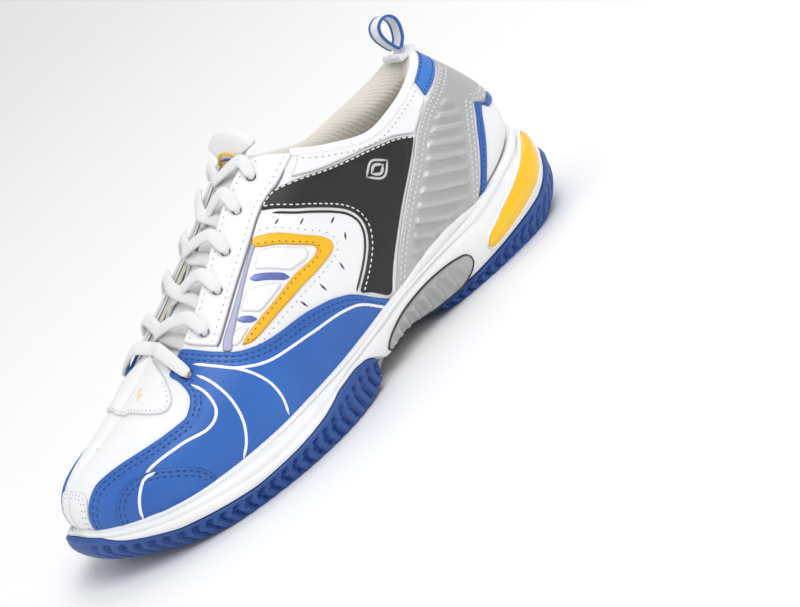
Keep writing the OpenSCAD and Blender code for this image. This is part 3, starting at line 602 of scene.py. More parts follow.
def grid_faces(rows: int, cols: int, wrap: bool = False, start: int = 0) -> list:
    """Quads of a point grid.

    Args:
        rows: Number of rows.
        cols: Points in a row.
        wrap: Whether the last column joins the first.
        start: Number of the first point.

    Returns:
        The faces.
    """
    out = []
    for i in range(rows - 1):
        for j in range(cols if wrap else cols - 1):
            k = (j + 1) % cols
            out.append((start + i * cols + j, start + i * cols + k,
                        start + (i + 1) * cols + k, start + (i + 1) * cols + j))
    return out


def tube_faces(rows: int, cols: int, start: int = 0) -> list:
    """Quads round a tube, with a face at both ends.

    Args:
        rows: Number of rings.
        cols: Points in a ring.
        start: Number of the first point.

    Returns:
        The faces.
    """
    ends = [tuple(start + j for j in range(cols))[::-1], tuple(start + (rows - 1) * cols + j for j in range(cols))]
    return grid_faces(rows, cols, True, start) + ends


def cloth_map(grid: Array) -> Array:
    """Length run along both ways of a point grid.

    Args:
        grid: Rows by columns by three, in millimetres.

    Returns:
        Two coordinates for each point, in centimetres.
    """
    down = np.linalg.norm(np.diff(grid, axis=0, prepend=grid[:1]), axis=2).cumsum(0)
    along = np.linalg.norm(np.diff(grid, axis=1, prepend=grid[:, :1]), axis=2).cumsum(1)
    return np.stack([down.ravel(), along.ravel()], 1) / 10


def fill_outline(flat: Array, edges: list, keep: Callable) -> tuple:
    """Join flat points into triangles.

    Args:
        flat: Points in the plane.
        edges: Pairs of point numbers that stay edges.
        keep: Says which triangles stay, from their middles.

    Returns:
        The points in use and the corner numbers of the triangles.
    """
    verts, _, tris = delaunay_2d_cdt([tuple(p) for p in flat], edges, [], 0, 1e-4)[:3]
    uv = np.array([tuple(v) for v in verts])
    tris = np.array([t for t in tris if len(t) == 3])
    tris = tris[keep(uv[tris].mean(1))]
    used = np.unique(tris)
    index = np.full(len(uv), -1)
    index[used] = np.arange(len(used))
    return uv[used], index[tris]


def close_sheet(tris: Array, count: int) -> list:
    """Faces of a solid between a sheet and its underside.

    Args:
        tris: Corner numbers of the upper sheet's triangles.
        count: Points of the upper sheet, which the underside's points follow.

    Returns:
        The faces.
    """
    tris = tris.tolist()
    pairs = dict.fromkeys((t[i], t[(i + 1) % 3]) for t in tris for i in range(3))
    faces = [tuple(t) for t in tris] + [tuple(i + count for i in reversed(t)) for t in tris]
    return faces + [(j, i, i + count, j + count) for i, j in pairs if (j, i) not in pairs]


def shell(outer: Array, inner: Array) -> tuple:
    """Closed solid between two matching point grids.

    Args:
        outer: Rows by columns by three, seen from outside as counter-clockwise or not.
        inner: The same grid on the inside.

    Returns:
        Points, faces and the cloth coordinates.
    """
    n, m = outer.shape[:2]
    o = n * m
    verts = np.vstack([outer.reshape(-1, 3), inner.reshape(-1, 3)])
    faces = grid_faces(n, m)
    faces += [tuple(reversed(f)) for f in grid_faces(n, m, start=o)]
    for i in range(n - 1):
        a, b = i * m, (i + 1) * m
        faces.append((b, a, o + a, o + b))
        a, b = i * m + m - 1, (i + 1) * m + m - 1
        faces.append((a, b, o + b, o + a))
    for j in range(m - 1):
        faces.append((j, j + 1, o + j + 1, o + j))
        a, b = (n - 1) * m + j, (n - 1) * m + j + 1
        faces.append((b, a, o + a, o + b))
    cloth = cloth_map(outer)
    flip = np.dot(np.cross(outer[1, 0] - outer[0, 0], outer[0, 1] - outer[0, 0]),
                  outer[0, 0] - inner[0, 0]) > 0
    if flip:
        faces = [tuple(reversed(f)) for f in faces]
    return verts, faces, np.vstack([cloth, cloth])


def sweep(path: Array, ups: Array, width: Array, thick: Array, corners: int = 14,
          square: float = 2.6) -> tuple:
    """Flat-oval cord or tape along a path.

    Args:
        path: Points of the middle line.
        ups: Direction out of the tape's flat face at each point.
        width: Full width at each point.
        thick: Full thickness at each point.
        corners: Points round the section.
        square: Exponent of the rounded section.

    Returns:
        Points, faces and the cloth coordinates.
    """
    along = unit(np.gradient(path, axis=0))
    across = unit(np.cross(along, ups))
    up = unit(np.cross(across, along))
    a = 2 * math.pi * np.arange(corners) / corners
    cx = np.sign(np.cos(a)) * np.abs(np.cos(a)) ** (2 / square)
    cy = np.sign(np.sin(a)) * np.abs(np.sin(a)) ** (2 / square)
    ring = (path[:, None] + across[:, None] * (cx[None, :, None] * width[:, None, None] / 2)
            + up[:, None] * (cy[None, :, None] * thick[:, None, None] / 2))
    n = len(path)
    far = np.linalg.norm(np.diff(path, axis=0, prepend=path[:1]), axis=1).cumsum()
    cloth = np.stack([np.broadcast_to(cx * width[:, None] / 2, (n, corners)),
                      np.broadcast_to(far[:, None], (n, corners))], -1).reshape(-1, 2) / 10
    return ring.reshape(-1, 3), tube_faces(n, corners), cloth


class Patch:
    """Where a panel's height share and station meet real millimetres."""

    def __init__(self, side: Side, wall: bool = False) -> None:
        """Choose the surface.

        Args:
            side: Side of the shoe.
            wall: Whether to lie on the sole wall in place of the upper.
        """
        self.side = side
        self.at = LAST.wall if wall else LAST.skin
        self.facing = LAST.wall_normal if wall else LAST.normal

    def point(self, st: Array, off: Array = 0.0) -> Array:
        """Points off the surface.

        Args:
            st: Points as station and height share.
            off: Millimetres off the surface.

        Returns:
            The points in millimetres.
        """
        off = np.broadcast_to(np.asarray(off, float), st.shape[:-1])
        return (self.at(self.side, st[..., 0], st[..., 1])
                + self.facing(self.side, st[..., 0], st[..., 1]) * off[..., None])

    def slopes(self, st: Array) -> tuple:
        """Millimetres gained by one unit of each coordinate.

        Args:
            st: Points as station and height share.

        Returns:
            Gain along the station and gain along the height share.
        """
        e = 0.01
        s, t = st[..., 0], st[..., 1]
        lo, hi = np.maximum(s - e, 0), np.minimum(s + e, TOE)
        ds = (self.at(self.side, hi, t) - self.at(self.side, lo, t)) / (hi - lo)[..., None]
        lo, hi = np.maximum(t - e, 0), np.minimum(t + e, 1)
        dt = (self.at(self.side, s, hi) - self.at(self.side, s, lo)) / (hi - lo)[..., None]
        return ds, dt

    def spaced(self, st: Array, step: float) -> Array:
        """The same line with even steps.

        Args:
            st: Points of the line.
            step: Millimetres from point to point.

        Returns:
            The spaced points.
        """
        d = np.linalg.norm(np.diff(self.point(st), axis=0), axis=1)
        far = np.concatenate([[0], d.cumsum()])
        n = max(2, int(round(far[-1] / step)) + 1)
        x = np.linspace(0, far[-1], n)
        return np.stack([np.interp(x, far, st[:, 0]), np.interp(x, far, st[:, 1])], 1)

    def beside(self, st: Array, dist: float, closed: bool = False) -> Array:
        """Line at a distance to the left of a line.

        Args:
            st: Points of the line.
            dist: Millimetres to the left, seen with station across and height up.
            closed: Whether the line is a ring.

        Returns:
            The moved points.
        """
        if closed:
            tan = np.roll(st, -1, 0) - np.roll(st, 1, 0)
        else:
            tan = np.gradient(st, axis=0)
        ds, dt = self.slopes(st)
        along = ds * tan[:, :1] + dt * tan[:, 1:]
        w = unit(np.cross(self.facing(self.side, st[:, 0], st[:, 1]), along))
        a, b, c = (ds * ds).sum(1), (ds * dt).sum(1), (dt * dt).sum(1)
        p, q = (ds * w).sum(1), (dt * w).sum(1)
        det = np.maximum(a * c - b * b, 1e-6)
        move = np.stack([(c * p - b * q) / det, (a * q - b * p) / det], 1)
        left = np.sign(tan[:, 0] * move[:, 1] - tan[:, 1] * move[:, 0])
        return st + move * (left * dist)[:, None]


def inside(ring: Array, pts: Array) -> Array:
    """Which points lie inside a ring.

    Args:
        ring: Corners of the ring.
        pts: Points to test.

    Returns:
        True for each point inside.
    """
    x, y = pts[:, :1], pts[:, 1:]
    a, b = ring, np.roll(ring, -1, 0)
    hit = ((a[:, 1] > y) != (b[:, 1] > y)) & (
        x < (b[:, 0] - a[:, 0]) * (y - a[:, 1]) / (b[:, 1] - a[:, 1] + 1e-12) + a[:, 0])
    return hit.sum(1) % 2 == 1


class Seams:
    """All stitches of one thread, gathered into one piece."""

    REACH = np.array([-1.0, -0.72, 0.0, 0.72, 1.0])
    GIRTH = np.array([0.3, 0.8, 1.0, 0.8, 0.3])
    ROUND = 6

    def __init__(self, name: str, finish: Finish, length: float = 2.0, width: float = 0.62,
                 body: str = "shoe") -> None:
        """Name the thread.

        Args:
            name: Name of the piece.
            finish: Finish of the thread.
            length: Length of a stitch in millimetres.
            width: Width of the thread.
            body: Body that the stitches ride on.
        """
        self.name, self.finish, self.body = name, finish, body
        self.length, self.width = length, width
        self.rings: list = []

    def add(self, patch: Patch, st: Array, off: float, pitch: float = 3.0, length: Optional[float] = None) -> None:
        """Lay stitches along a line.

        Args:
            patch: Surface that the line lies on.
            st: Points of the line.
            off: Height of the thread off the surface.
            pitch: Millimetres from stitch to stitch.
            length: Length of a stitch, if not the thread's own.
        """
        even = patch.spaced(st, pitch)
        if len(even) < 3:
            return
        mid = (even[1:] + even[:-1]) / 2
        p = patch.point(mid, off)
        t = unit(patch.point(even[1:], off) - patch.point(even[:-1], off))
        self.lay(p, t, patch.facing(patch.side, mid[:, 0], mid[:, 1]), length)

    def lay(self, p: Array, t: Array, n: Array, length: Optional[float] = None) -> None:
        """Lay one stitch at each point.

        Args:
            p: Middles of the stitches.
            t: Directions that the stitches run in.
            n: Directions that their tops face.
            length: Length of a stitch, if not the thread's own.
        """
        n = unit(n - t * (n * t).sum(1, keepdims=True))
        b = np.cross(t, n)
        a = 2 * math.pi * np.arange(self.ROUND) / self.ROUND
        half, r = (length or self.length) / 2, self.width / 2
        x, g = self.REACH[:, None, None], self.GIRTH[:, None, None] * r
        ring = (p[:, None, None] + t[:, None, None] * x * half - n[:, None, None] * (0.9 * r * x ** 4)
                + (b[:, None, None] * np.cos(a)[None, None, :, None]
                   + n[:, None, None] * np.sin(a)[None, None, :, None]) * g)
        self.rings.append(ring.reshape(-1, 3))

    def follow(self, panel: "Panel", runs: Sequence[int], insets: Sequence[float], off: float,
               pitch: float = 3.0, length: Optional[float] = None) -> None:
        """Lay rows of stitches beside runs of a panel's outline.

        Args:
            panel: The panel.
            runs: Numbers of the runs.
            insets: Millimetres of each row from the outline.
            off: Height of the thread off the surface.
            pitch: Millimetres from stitch to stitch.
            length: Length of a stitch, if not the thread's own.
        """
        for run in runs:
            for gap in insets:
                self.add(panel.patch, panel.run_line(run, gap), off, pitch, length)

    def build(self) -> bpy.types.Object:
        """Make the piece.

        Returns:
            The object of all stitches.
        """
        verts = np.vstack(self.rings)
        k, r = self.ROUND, len(self.REACH)
        one = tube_faces(r, k)
        faces = [tuple(i + s * k * r for i in f) for s in range(len(verts) // (k * r)) for f in one]
        cloth = verts[:, :2] / 10
        LOG.info("%s: %d stitches", self.name, len(verts) // (k * r))
        return make_piece(self.name, self.finish, verts, faces, self.body, cloth, sharp=80)


@dataclass
class Panel:
    """One cut piece lying on the upper or on the sole wall, with soft edges.

    runs is the outline as smooth runs that meet at corners, each point a station
    and a height share. groove lists distances from the edge where thread sinks in.
    """

    name: str
    side: Side
    runs: list
    low: float = 1.05
    high: float = 2.3
    finish: Finish = WHITE
    spacing: float = 2.2
    soft: float = 1.0
    groove: tuple = ()
    holes: tuple = ()
    replaces: tuple = ()
    relief: Optional[Callable] = None
    on_sole: bool = False
    body: str = "shoe"
    rounding: int = 2
    depth: float = 0.3

    def __post_init__(self) -> None:
        """Trace the outline, anticlockwise, with its corners eased."""
        self.patch = Patch(self.side, self.on_sole)
        fine = 0.9 if self.spacing < 1.6 else 1.3
        parts = [self.patch.spaced(curve(r), fine)[:-1] for r in self.runs]
        corners = np.cumsum([0] + [len(p) for p in parts])[:-1]
        ring = np.vstack(parts)
        n = len(ring)
        for _ in range(self.rounding):
            eased = (np.roll(ring, 1, 0) + 2 * ring + np.roll(ring, -1, 0)) / 4
            for c in corners:
                near = [(c + k) % n for k in (-2, -1, 0, 1, 2)]
                ring[near] = eased[near]
        area = (ring[:, 0] * np.roll(ring[:, 1], -1) - np.roll(ring[:, 0], -1) * ring[:, 1]).sum()
        self.turned = area < 0
        self.ring = ring[::-1].copy() if self.turned else ring

    def run_line(self, index: int, inset: float) -> Array:
        """A run of the outline moved inwards.

        Args:
            index: Number of the run.
            inset: Millimetres to move it by.

        Returns:
            The moved line.
        """
        line = curve(self.runs[index])
        if self.turned:
            line = line[::-1]
        line = self.patch.beside(self.patch.spaced(line, 1.2), inset)
        return line[inside(self.ring, line)] if inset > 0 else line

    def _hole_rings(self) -> list:
        """Outline the punched holes.

        Returns:
            One ring of eighteen points for each hole.
        """
        out = []
        for s, t, r in self.holes:
            c = np.array([[s, t]])
            ds, dt = self.patch.slopes(c)
            n = self.patch.facing(self.side, c[:, 0], c[:, 1])
            x = unit(ds)
            y = np.cross(n, x)
            a, b, d = (ds * ds).sum(), (ds * dt).sum(), (dt * dt).sum()
            angle = np.linspace(0, 2 * math.pi, 19)[:-1, None]
            w = (x * np.cos(angle) + y * np.sin(angle)) * r
            p, q = (w * ds).sum(1), (w * dt).sum(1)
            det = a * d - b * b
            out.append(c + np.stack([(d * p - b * q) / det, (a * q - b * p) / det], 1))
        return out

    def _height(self, d: Array, st: Array) -> Array:
        """Height of the panel's face.

        Args:
            d: Distance of each point from the edge.
            st: The points.

        Returns:
            Millimetres off the surface.
        """
        rise = np.sqrt(np.clip(1 - (1 - np.clip(d / self.soft, 0, 1)) ** 2, 0, 1))
        h = self.low + (self.high - self.low) * (0.35 + 0.65 * rise)
        for g in self.groove:
            h = h - self.depth * np.exp(-((d - g) / 0.5) ** 2)
        if self.relief is not None:
            h = h + self.relief(st, d, self.patch.point(st))
        return h

    def build(self) -> bpy.types.Object:
        """Fill the outline with points, lift them to their height and close the solid.

        Returns:
            The panel's object.
        """
        rings = [self.ring] + self._hole_rings()
        edge = np.vstack([self.patch.point(r) for r in rings])
        insets = sorted({0.3, 0.8} | {g + k for g in self.groove for k in (-0.55, 0.0, 0.55) if g + k > 0.9}
                        | {self.soft * 1.3})
        pts = list(rings)
        for d in insets:
            line = self.patch.beside(self.ring, d, True)
            line = line[inside(self.ring, line)]
            if len(line):
                gap = np.linalg.norm(self.patch.point(line)[:, None] - edge[None], axis=2).min(1)
                line = line[gap > 0.86 * d]
            if len(line) > 3:
                pts.append(line)
        ds, dt = self.patch.slopes(self.ring)
        scale = np.array([np.linalg.norm(ds, axis=1).mean(), np.linalg.norm(dt, axis=1).mean()])
        low, high = self.ring.min(0), self.ring.max(0)
        cols = np.arange(low[0], high[0], self.spacing / scale[0])
        rowsv = np.arange(low[1], high[1], self.spacing * 0.87 / scale[1])
        gs, gt = np.meshgrid(cols, rowsv)
        gs = gs + (np.arange(len(rowsv)) % 2)[:, None] * self.spacing / scale[0] / 2
        bulk = np.stack([gs.ravel(), gt.ravel()], 1)
        bulk = bulk[inside(self.ring, bulk)]
        if len(bulk):
            gap = np.concatenate([np.linalg.norm(self.patch.point(part)[:, None] - edge[None], axis=2).min(1)
                                  for part in np.array_split(bulk, max(1, len(bulk) // 500))])
            pts.append(bulk[gap > insets[-1] + 0.45 * self.spacing])
        flat = np.vstack(pts) * scale
        edges, start = [], 0
        for ring in rings:
            edges += [(start + i, start + (i + 1) % len(ring)) for i in range(len(ring))]
            start += len(ring)

        def solid(mid: Array) -> Array:
            """Which places are inside the outline and outside the holes.

            Args:
                mid: The places.

            Returns:
                True for each such place.
            """
            leather = inside(rings[0] * scale, mid)
            for hole in rings[1:]:
                leather &= ~inside(hole * scale, mid)
            return leather
        uv, tris = fill_outline(flat, edges, solid)
        st = uv / scale
        st[:, 1] = np.clip(st[:, 1], 0, 1)
        flatp = self.patch.point(st)
        d = np.concatenate([np.linalg.norm(part[:, None] - edge[None], axis=2).min(1)
                            for part in np.array_split(flatp, max(1, len(flatp) // 500))])
        top = self.patch.point(st, self._height(d, st))
        bottom = self.patch.point(st, self.low)
        a, b, c = top[tris[0]]
        n = self.patch.facing(self.side, st[tris[0][:1], 0], st[tris[0][:1], 1])[0]
        if np.dot(np.cross(b - a, c - a), n) < 0:
            tris = tris[:, ::-1]
        return make_piece(self.name, self.finish, np.vstack([top, bottom]), close_sheet(tris, len(top)), self.body,
                          np.vstack([uv, uv]) / 10, np.concatenate([d, np.zeros(len(top))]),
                          replaces=self.replaces)


def line_strip(name: str, finish: Finish, patch: Patch, lines: list, width: float, low: float,
               high: float, body: str = "shoe") -> bpy.types.Object:
    """Printed or piped lines lying on a surface.

    Args:
        name: Name of the piece.
        finish: Its finish.
        patch: Surface that the lines lie on.
        lines: Each line's points as station and height share.
        width: Width of a line in millimetres.
        low: Height of its underside off the surface.
        high: Height of its middle.
        body: Body that it rides on.

    Returns:
        The new object.
    """
    verts, faces, cloth = [], [], []
    start = 0
    for line in lines:
        st = patch.spaced(curve(line), 1.0)
        taper = np.minimum(1, np.minimum(np.arange(len(st)), np.arange(len(st))[::-1]) / 3 + 0.25)
        rows = []
        for share, h in ((-1, low), (-1, (low + high) / 2), (0, high), (1, (low + high) / 2), (1, low)):
            move = patch.beside(st, 1.0) - st
            rows.append(patch.point(st + move * (share * width / 2 * taper)[:, None], h))
        ring = np.stack(rows, 1)
        n, m = ring.shape[:2]
        verts.append(ring.reshape(-1, 3))
        cloth.append(ring.reshape(-1, 3)[:, :2] / 10)
        f = tube_faces(n, m, start)
        side = np.dot(np.cross(ring[1, 2] - ring[0, 2], ring[0, 3] - ring[0, 1]),
                      ring[0, 2] - (ring[0, 0] + ring[0, 4]) / 2) > 0
        faces += [tuple(reversed(q)) for q in f] if side else f
        start += n * m
    return make_piece(name, finish, np.vstack(verts), faces, body, np.vstack(cloth), sharp=60)


EYELETS = [(9.6, 0.56), (9.05, 0.58), (8.5, 0.62), (8.0, 0.68), (7.4, 0.76), (6.8, 0.86)]
THROAT = [(5.9, 1), (6.3, 1), (6.8, 0.95), (7.4, 0.87), (8, 0.79), (8.5, 0.74), (9, 0.7), (9.85, 0.68)]
MUD_TOP = [(5.03, 0.0), (5.68, 0.17), (6.2, 0.225), (7, 0.245), (8.1, 0.285), (8.7, 0.36), (9.07, 0.47),
           (9.3, 0.58), (9.47, 0.685)]
MUD_NECK = [(9.86, 0.685), (9.77, 0.58), (9.77, 0.47), (9.98, 0.415)]
MUD_FRONT = [(9.98, 0.415), (10.55, 0.46), (11.45, 0.52), (12.2, 0.5), (12.6, 0.42), (12.93, 0.26), (13.2, 0.0)]
SADDLE_TOP = [(6.93, 0.695), (6.35, 0.785), (5.55, 0.852), (4.8, 0.9), (4.2, 0.93), (3.72, 0.9), (3.42, 0.835),
              (3.22, 0.772)]
SADDLE_ARCH = [(5.62, 0.17), (5.25, 0.25), (4.97, 0.36), (4.87, 0.48), (4.98, 0.58), (5.3, 0.64), (6, 0.672),
               (6.93, 0.685)]
STRAP_FRONT = [(0.9, 0.83), (2, 0.835), (2.6, 0.83), (3.15, 0.77), (3.55, 0.65), (4, 0.49), (4.45, 0.27), (4.93, 0.0)]
STRAP_BACK = [(0.03, 0.36), (0.7, 0.37), (1.35, 0.41), (1.66, 0.51)]
STRAP_LEG = [(1.66, 0.51), (1.95, 0.46), (2.2, 0.39), (2.5, 0.26), (2.75, 0.12), (2.93, 0.0)]


def once(side: Side, node: str) -> tuple:
    """The node, for the outer side's half only."""
    return (node,) if side is Side.OUTER else ()


@dataclass
class Upper:
    """Leather, lining and trim of the upper, with sizes in millimetres off the foot form."""

    base: float = 1.0
    under: float = 1.02
    buried: float = -0.2
    lining: tuple = (-0.5, -2.4)
    eyelet_r: float = 2.2
    guard_seams: tuple = (2.4, 4.6)
    rand_seams: tuple = (1.5, 3.4)
    strap_seams: tuple = (1.7, 4.0)
    navy: Seams = field(default_factory=lambda: Seams("stitching_navy", THREAD_NAVY))
    white: Seams = field(default_factory=lambda: Seams("stitching_white", THREAD_WHITE, 2.3, 0.75))
    grey: Seams = field(default_factory=lambda: Seams("stitching_grey", THREAD_GREY, 1.6, 0.55))
    dark: Seams = field(default_factory=lambda: Seams("stitching_dark", THREAD_DARK, 1.3, 0.55))

    def build(self) -> None:
        """Build every panel of both sides, then the threads."""
        self.vamp()
        self.heel_back()
        for side in Side:
            self.quarter(side)
            self.eyestay(side)
            self.mudguard(side)
            self.saddle(side)
            self.window(side)
            self.stripe(side)
            self.heel_strap(side)
            self.collar_panel(side)
            self.toe_rand(side)
            self.slits(side)
        self.heel_trim()
        self.achilles()
        self.toe_cap()
        self.throat_patch()
        for seams in (self.navy, self.white, self.grey, self.dark):
            seams.build()

    def vamp(self) -> None:
        """White forefoot under the mudguard, and its lining."""
        s = np.linspace(9.8, TOE, 54)[:, None]
        t = np.linspace(0, 1, 26)[None]
        for name, finish, offs, node in (
                ("forefoot_leather", WHITE, (self.base, self.buried), "vamp"),
                ("forefoot_lining", MESH, self.lining, "vamp_lining")):
            grids = [np.concatenate([LAST.on(Side.OUTER, s, t, off), LAST.on(Side.INNER, s, t[:, -2::-1], off)], 1)
                     for off in offs]
            verts, faces, cloth = shell(*grids)
            make_piece(name, finish, verts, faces, "shoe", cloth, UNWORN, replaces=(node,))

    def heel_back(self) -> None:
        """White counter round the heel, and the mesh lining from there to the throat."""
        s = np.linspace(0, 3.5, 36)[:, None]
        t = np.linspace(0, 1, 24)[None]
        grids = [np.concatenate([LAST.on(Side.INNER, s[:0:-1], t, off), LAST.on(Side.OUTER, s, t, off)])
                 for off in (self.base, self.buried)]
        verts, faces, cloth = shell(*grids)
        make_piece("heel_counter_leather", WHITE, verts, faces, "shoe", cloth, UNWORN,
                   replaces=("heel_back",))
        s = np.linspace(0, 9.84, 90)
        top = np.where(s < 5.9, 1.0, lookup(s, THROAT)) - 0.012
        grids = []
        for off in (-0.5, -2.2):
            rows = []
            for side, line in ((Side.INNER, s[::-1][:-1]), (Side.OUTER, s)):
                high = np.interp(line, s, top)
                rows.append(LAST.on(side, line[:, None], np.linspace(0.02, 1, 18)[None] * high[:, None], off))
            grids.append(np.concatenate(rows, 0))
        verts, faces, cloth = shell(*grids)
        make_piece("inner_lining", MESH, verts, faces, "shoe", cloth, UNWORN,
                   replaces=("quarter_lining",))

    def quarter(self, side: Side) -> None:
        """White side of the upper with the punched eyelets.

        Args:
            side: Side of the shoe.
        """
        holes = tuple((s, t, self.eyelet_r) for s, t in EYELETS)
        top = [(3.42, 0.995), (4, 0.995), (5, 0.995), (5.9, 0.995)]
        throat = [(5.9, 0.995), (6.35, 0.99), (6.8, 0.95), (7.4, 0.87), (8, 0.79), (8.5, 0.74), (9, 0.7),
                  (9.9, 0.68)]
        Panel(f"quarter_{side.label}_leather", side,
              [top, throat, [(9.9, 0.68), (9.9, 0.0)], [(9.9, 0), (3.42, 0)], [(3.42, 0), (3.42, 0.995)]],
              -0.2, 1.0, WHITE, 2.6, 0.5, holes=holes, replaces=(f"quarter_{side.label}",), rounding=0).build()

    def eyestay(self, side: Side) -> None:
        """Facing that carries the upper five eyelets, with a grey strip of painted shade along its outer edge.

        Args:
            side: Side of the shoe.
        """
        outer = [(5.7, 0.995), (6, 0.895), (6.4, 0.787), (7.28, 0.64), (7.8, 0.58), (8.53, 0.52), (9.02, 0.478)]
        low = [(9.02, 0.478), (9.26, 0.59), (9.4, 0.683)]
        inner = [(9.4, 0.683), (9, 0.698), (8.5, 0.738), (8, 0.788), (7.4, 0.868), (6.8, 0.948), (6.45, 0.985)]
        top = [(6.45, 0.985), (6.2, 0.997), (5.7, 0.995)]
        panel = Panel(f"eyestay_{side.label}_leather", side, [outer, low, inner, top], 1.02, 2.4, WHITE, 2.4, 1.0,
                      (2.6,), tuple((s, t, self.eyelet_r) for s, t in EYELETS[1:]), (f"eyestay_{side.label}",),
                      depth=0.22)
        panel.build()
        self.grey.follow(panel, (0, 2), (2.6,), 2.2, 3.4, 1.3)
        # Grey strip along the outer edge: painted shade where the raised eyestay edge stands off the side.
        line_strip(f"eyestay_{side.label}_edge", EYESTAY_EDGE_SHADE, panel.patch, [outer[1:]], 1.3, 1.0, 1.75)

    def mudguard(self, side: Side) -> None:
        """Blue guard round the forefoot, its printed lines and double seams.

        Args:
            side: Side of the shoe.
        """
        tip = [(9.47, 0.685), (9.86, 0.685)]
        foot = [(13.2, 0), (10, 0), (7, 0), (5.03, 0)]
        panel = Panel(f"mudguard_{side.label}_leather", side, [MUD_TOP, tip, MUD_NECK, MUD_FRONT, foot], 1.02, 2.25,
                      BLUE, 2.4, 1.0, self.guard_seams, (EYELETS[0] + (self.eyelet_r,),), (f"mudguard_{side.label}",))
        panel.build()
        self.navy.follow(panel, (0, 2, 3), self.guard_seams, 2.1, 2.9, 1.9)
        self.navy.follow(panel, (1,), self.guard_seams[:1], 2.1, 2.9, 1.9)
        lines = [
            [(9.45, 0.55), (9.2, 0.43), (8.9, 0.325), (8.33, 0.23), (7.28, 0.18), (6.23, 0.16), (5.73, 0.12),
             (5.28, 0.01)],
            [(9.02, 0.36), (8.8, 0.27), (8.64, 0.18), (8.6, 0.1), (8.66, 0.03)],
            [(9.5, 0.5), (9.38, 0.4), (9.3, 0.28), (9.32, 0.17), (9.45, 0.08), (9.62, 0.02)],
            [(9.64, 0.5), (9.54, 0.4), (9.56, 0.3), (9.8, 0.27), (10.33, 0.325), (11, 0.335), (11.35, 0.24),
             (11.55, 0.1), (11.62, 0.01)]]
        line_strip(f"mudguard_{side.label}_lines", INK_WHITE, panel.patch, lines, 1.25, 2.1, 2.48)

    def toe_rand(self, side: Side) -> None:
        """Lower toe piece of the guard with its double seam.

        Args:
            side: Side of the shoe.
        """
        seam = [(10.1, 0.02), (10.3, 0.15), (10.98, 0.31), (11.5, 0.34), (11.95, 0.22), (12.2, 0.0)]
        panel = Panel(f"toe_rand_{side.label}_leather", side, [seam, [(12.2, 0), (11, 0), (10.1, 0.02)]], 2.1, 2.75,
                      BLUE, 2.4, 0.9, self.rand_seams, replaces=(f"toe_rand_{side.label}",))
        panel.build()
        self.navy.follow(panel, (0,), self.rand_seams, 2.62, 2.9, 1.9)
        line_strip(f"toe_rand_{side.label}_line", INK_WHITE, panel.patch,
                   [[(10.95, 0.29), (11.2, 0.29), (11.42, 0.2), (11.56, 0.09), (11.62, 0.01)]], 1.25, 2.6, 2.98)

    def saddle(self, side: Side) -> None:
        """Black arch behind the white side, white stitches on both edges.

        Args:
            side: Side of the shoe.
        """
        front = [(6.93, 0.685), (6.93, 0.695)]
        back = [(3.22, 0.772), (3.61, 0.655), (4.06, 0.493), (4.51, 0.273), (4.78, 0.14), (4.97, 0.04)]
        foot = [(4.97, 0.04), (5.06, 0.03), (5.35, 0.12), (5.62, 0.17)]
        panel = Panel(f"saddle_{side.label}_leather", side, [SADDLE_TOP, back, foot, SADDLE_ARCH, front], 1.02, 2.2,
                      BLACK, 2.4, 1.0, (1.5,), replaces=(f"saddle_{side.label}",), depth=0.2)
        panel.build()
        self.white.follow(panel, (0,), (0.7,), 2.3, 3.0, 2.2)
        self.white.follow(panel, (3,), (1.5,), 2.12, 2.7, 1.9)
        arch = panel.patch.spaced(curve(SADDLE_ARCH), 1.2)
        outside = next(line for line in (panel.patch.beside(arch, d) for d in (1.9, -1.9))
                       if not inside(panel.ring, line[len(line) // 2][None])[0])
        line_strip(f"saddle_{side.label}_piping", INK_BLACK, panel.patch, [outside[::6]], 1.1, 0.9, 1.6)
        self.emblem(side)

    def emblem(self, side: Side) -> None:
        """Plain raised lozenge on the black saddle, in place of a mark.

        Args:
            side: Side of the shoe.
        """
        patch = Patch(side)
        outer = [(3.98, 0.795), (4.28, 0.845), (4.5, 0.755), (4.2, 0.705), (3.98, 0.795)]
        inner = [(4.1, 0.785), (4.27, 0.81), (4.39, 0.762), (4.22, 0.738), (4.1, 0.785)]
        for tag, ring, width in (("ring", outer, 1.1), ("core", inner, 1.4)):
            line_strip(f"saddle_{side.label}_mark_{tag}", SILVER, patch, [ring[:3], ring[2:]], width, 2.1, 2.7)

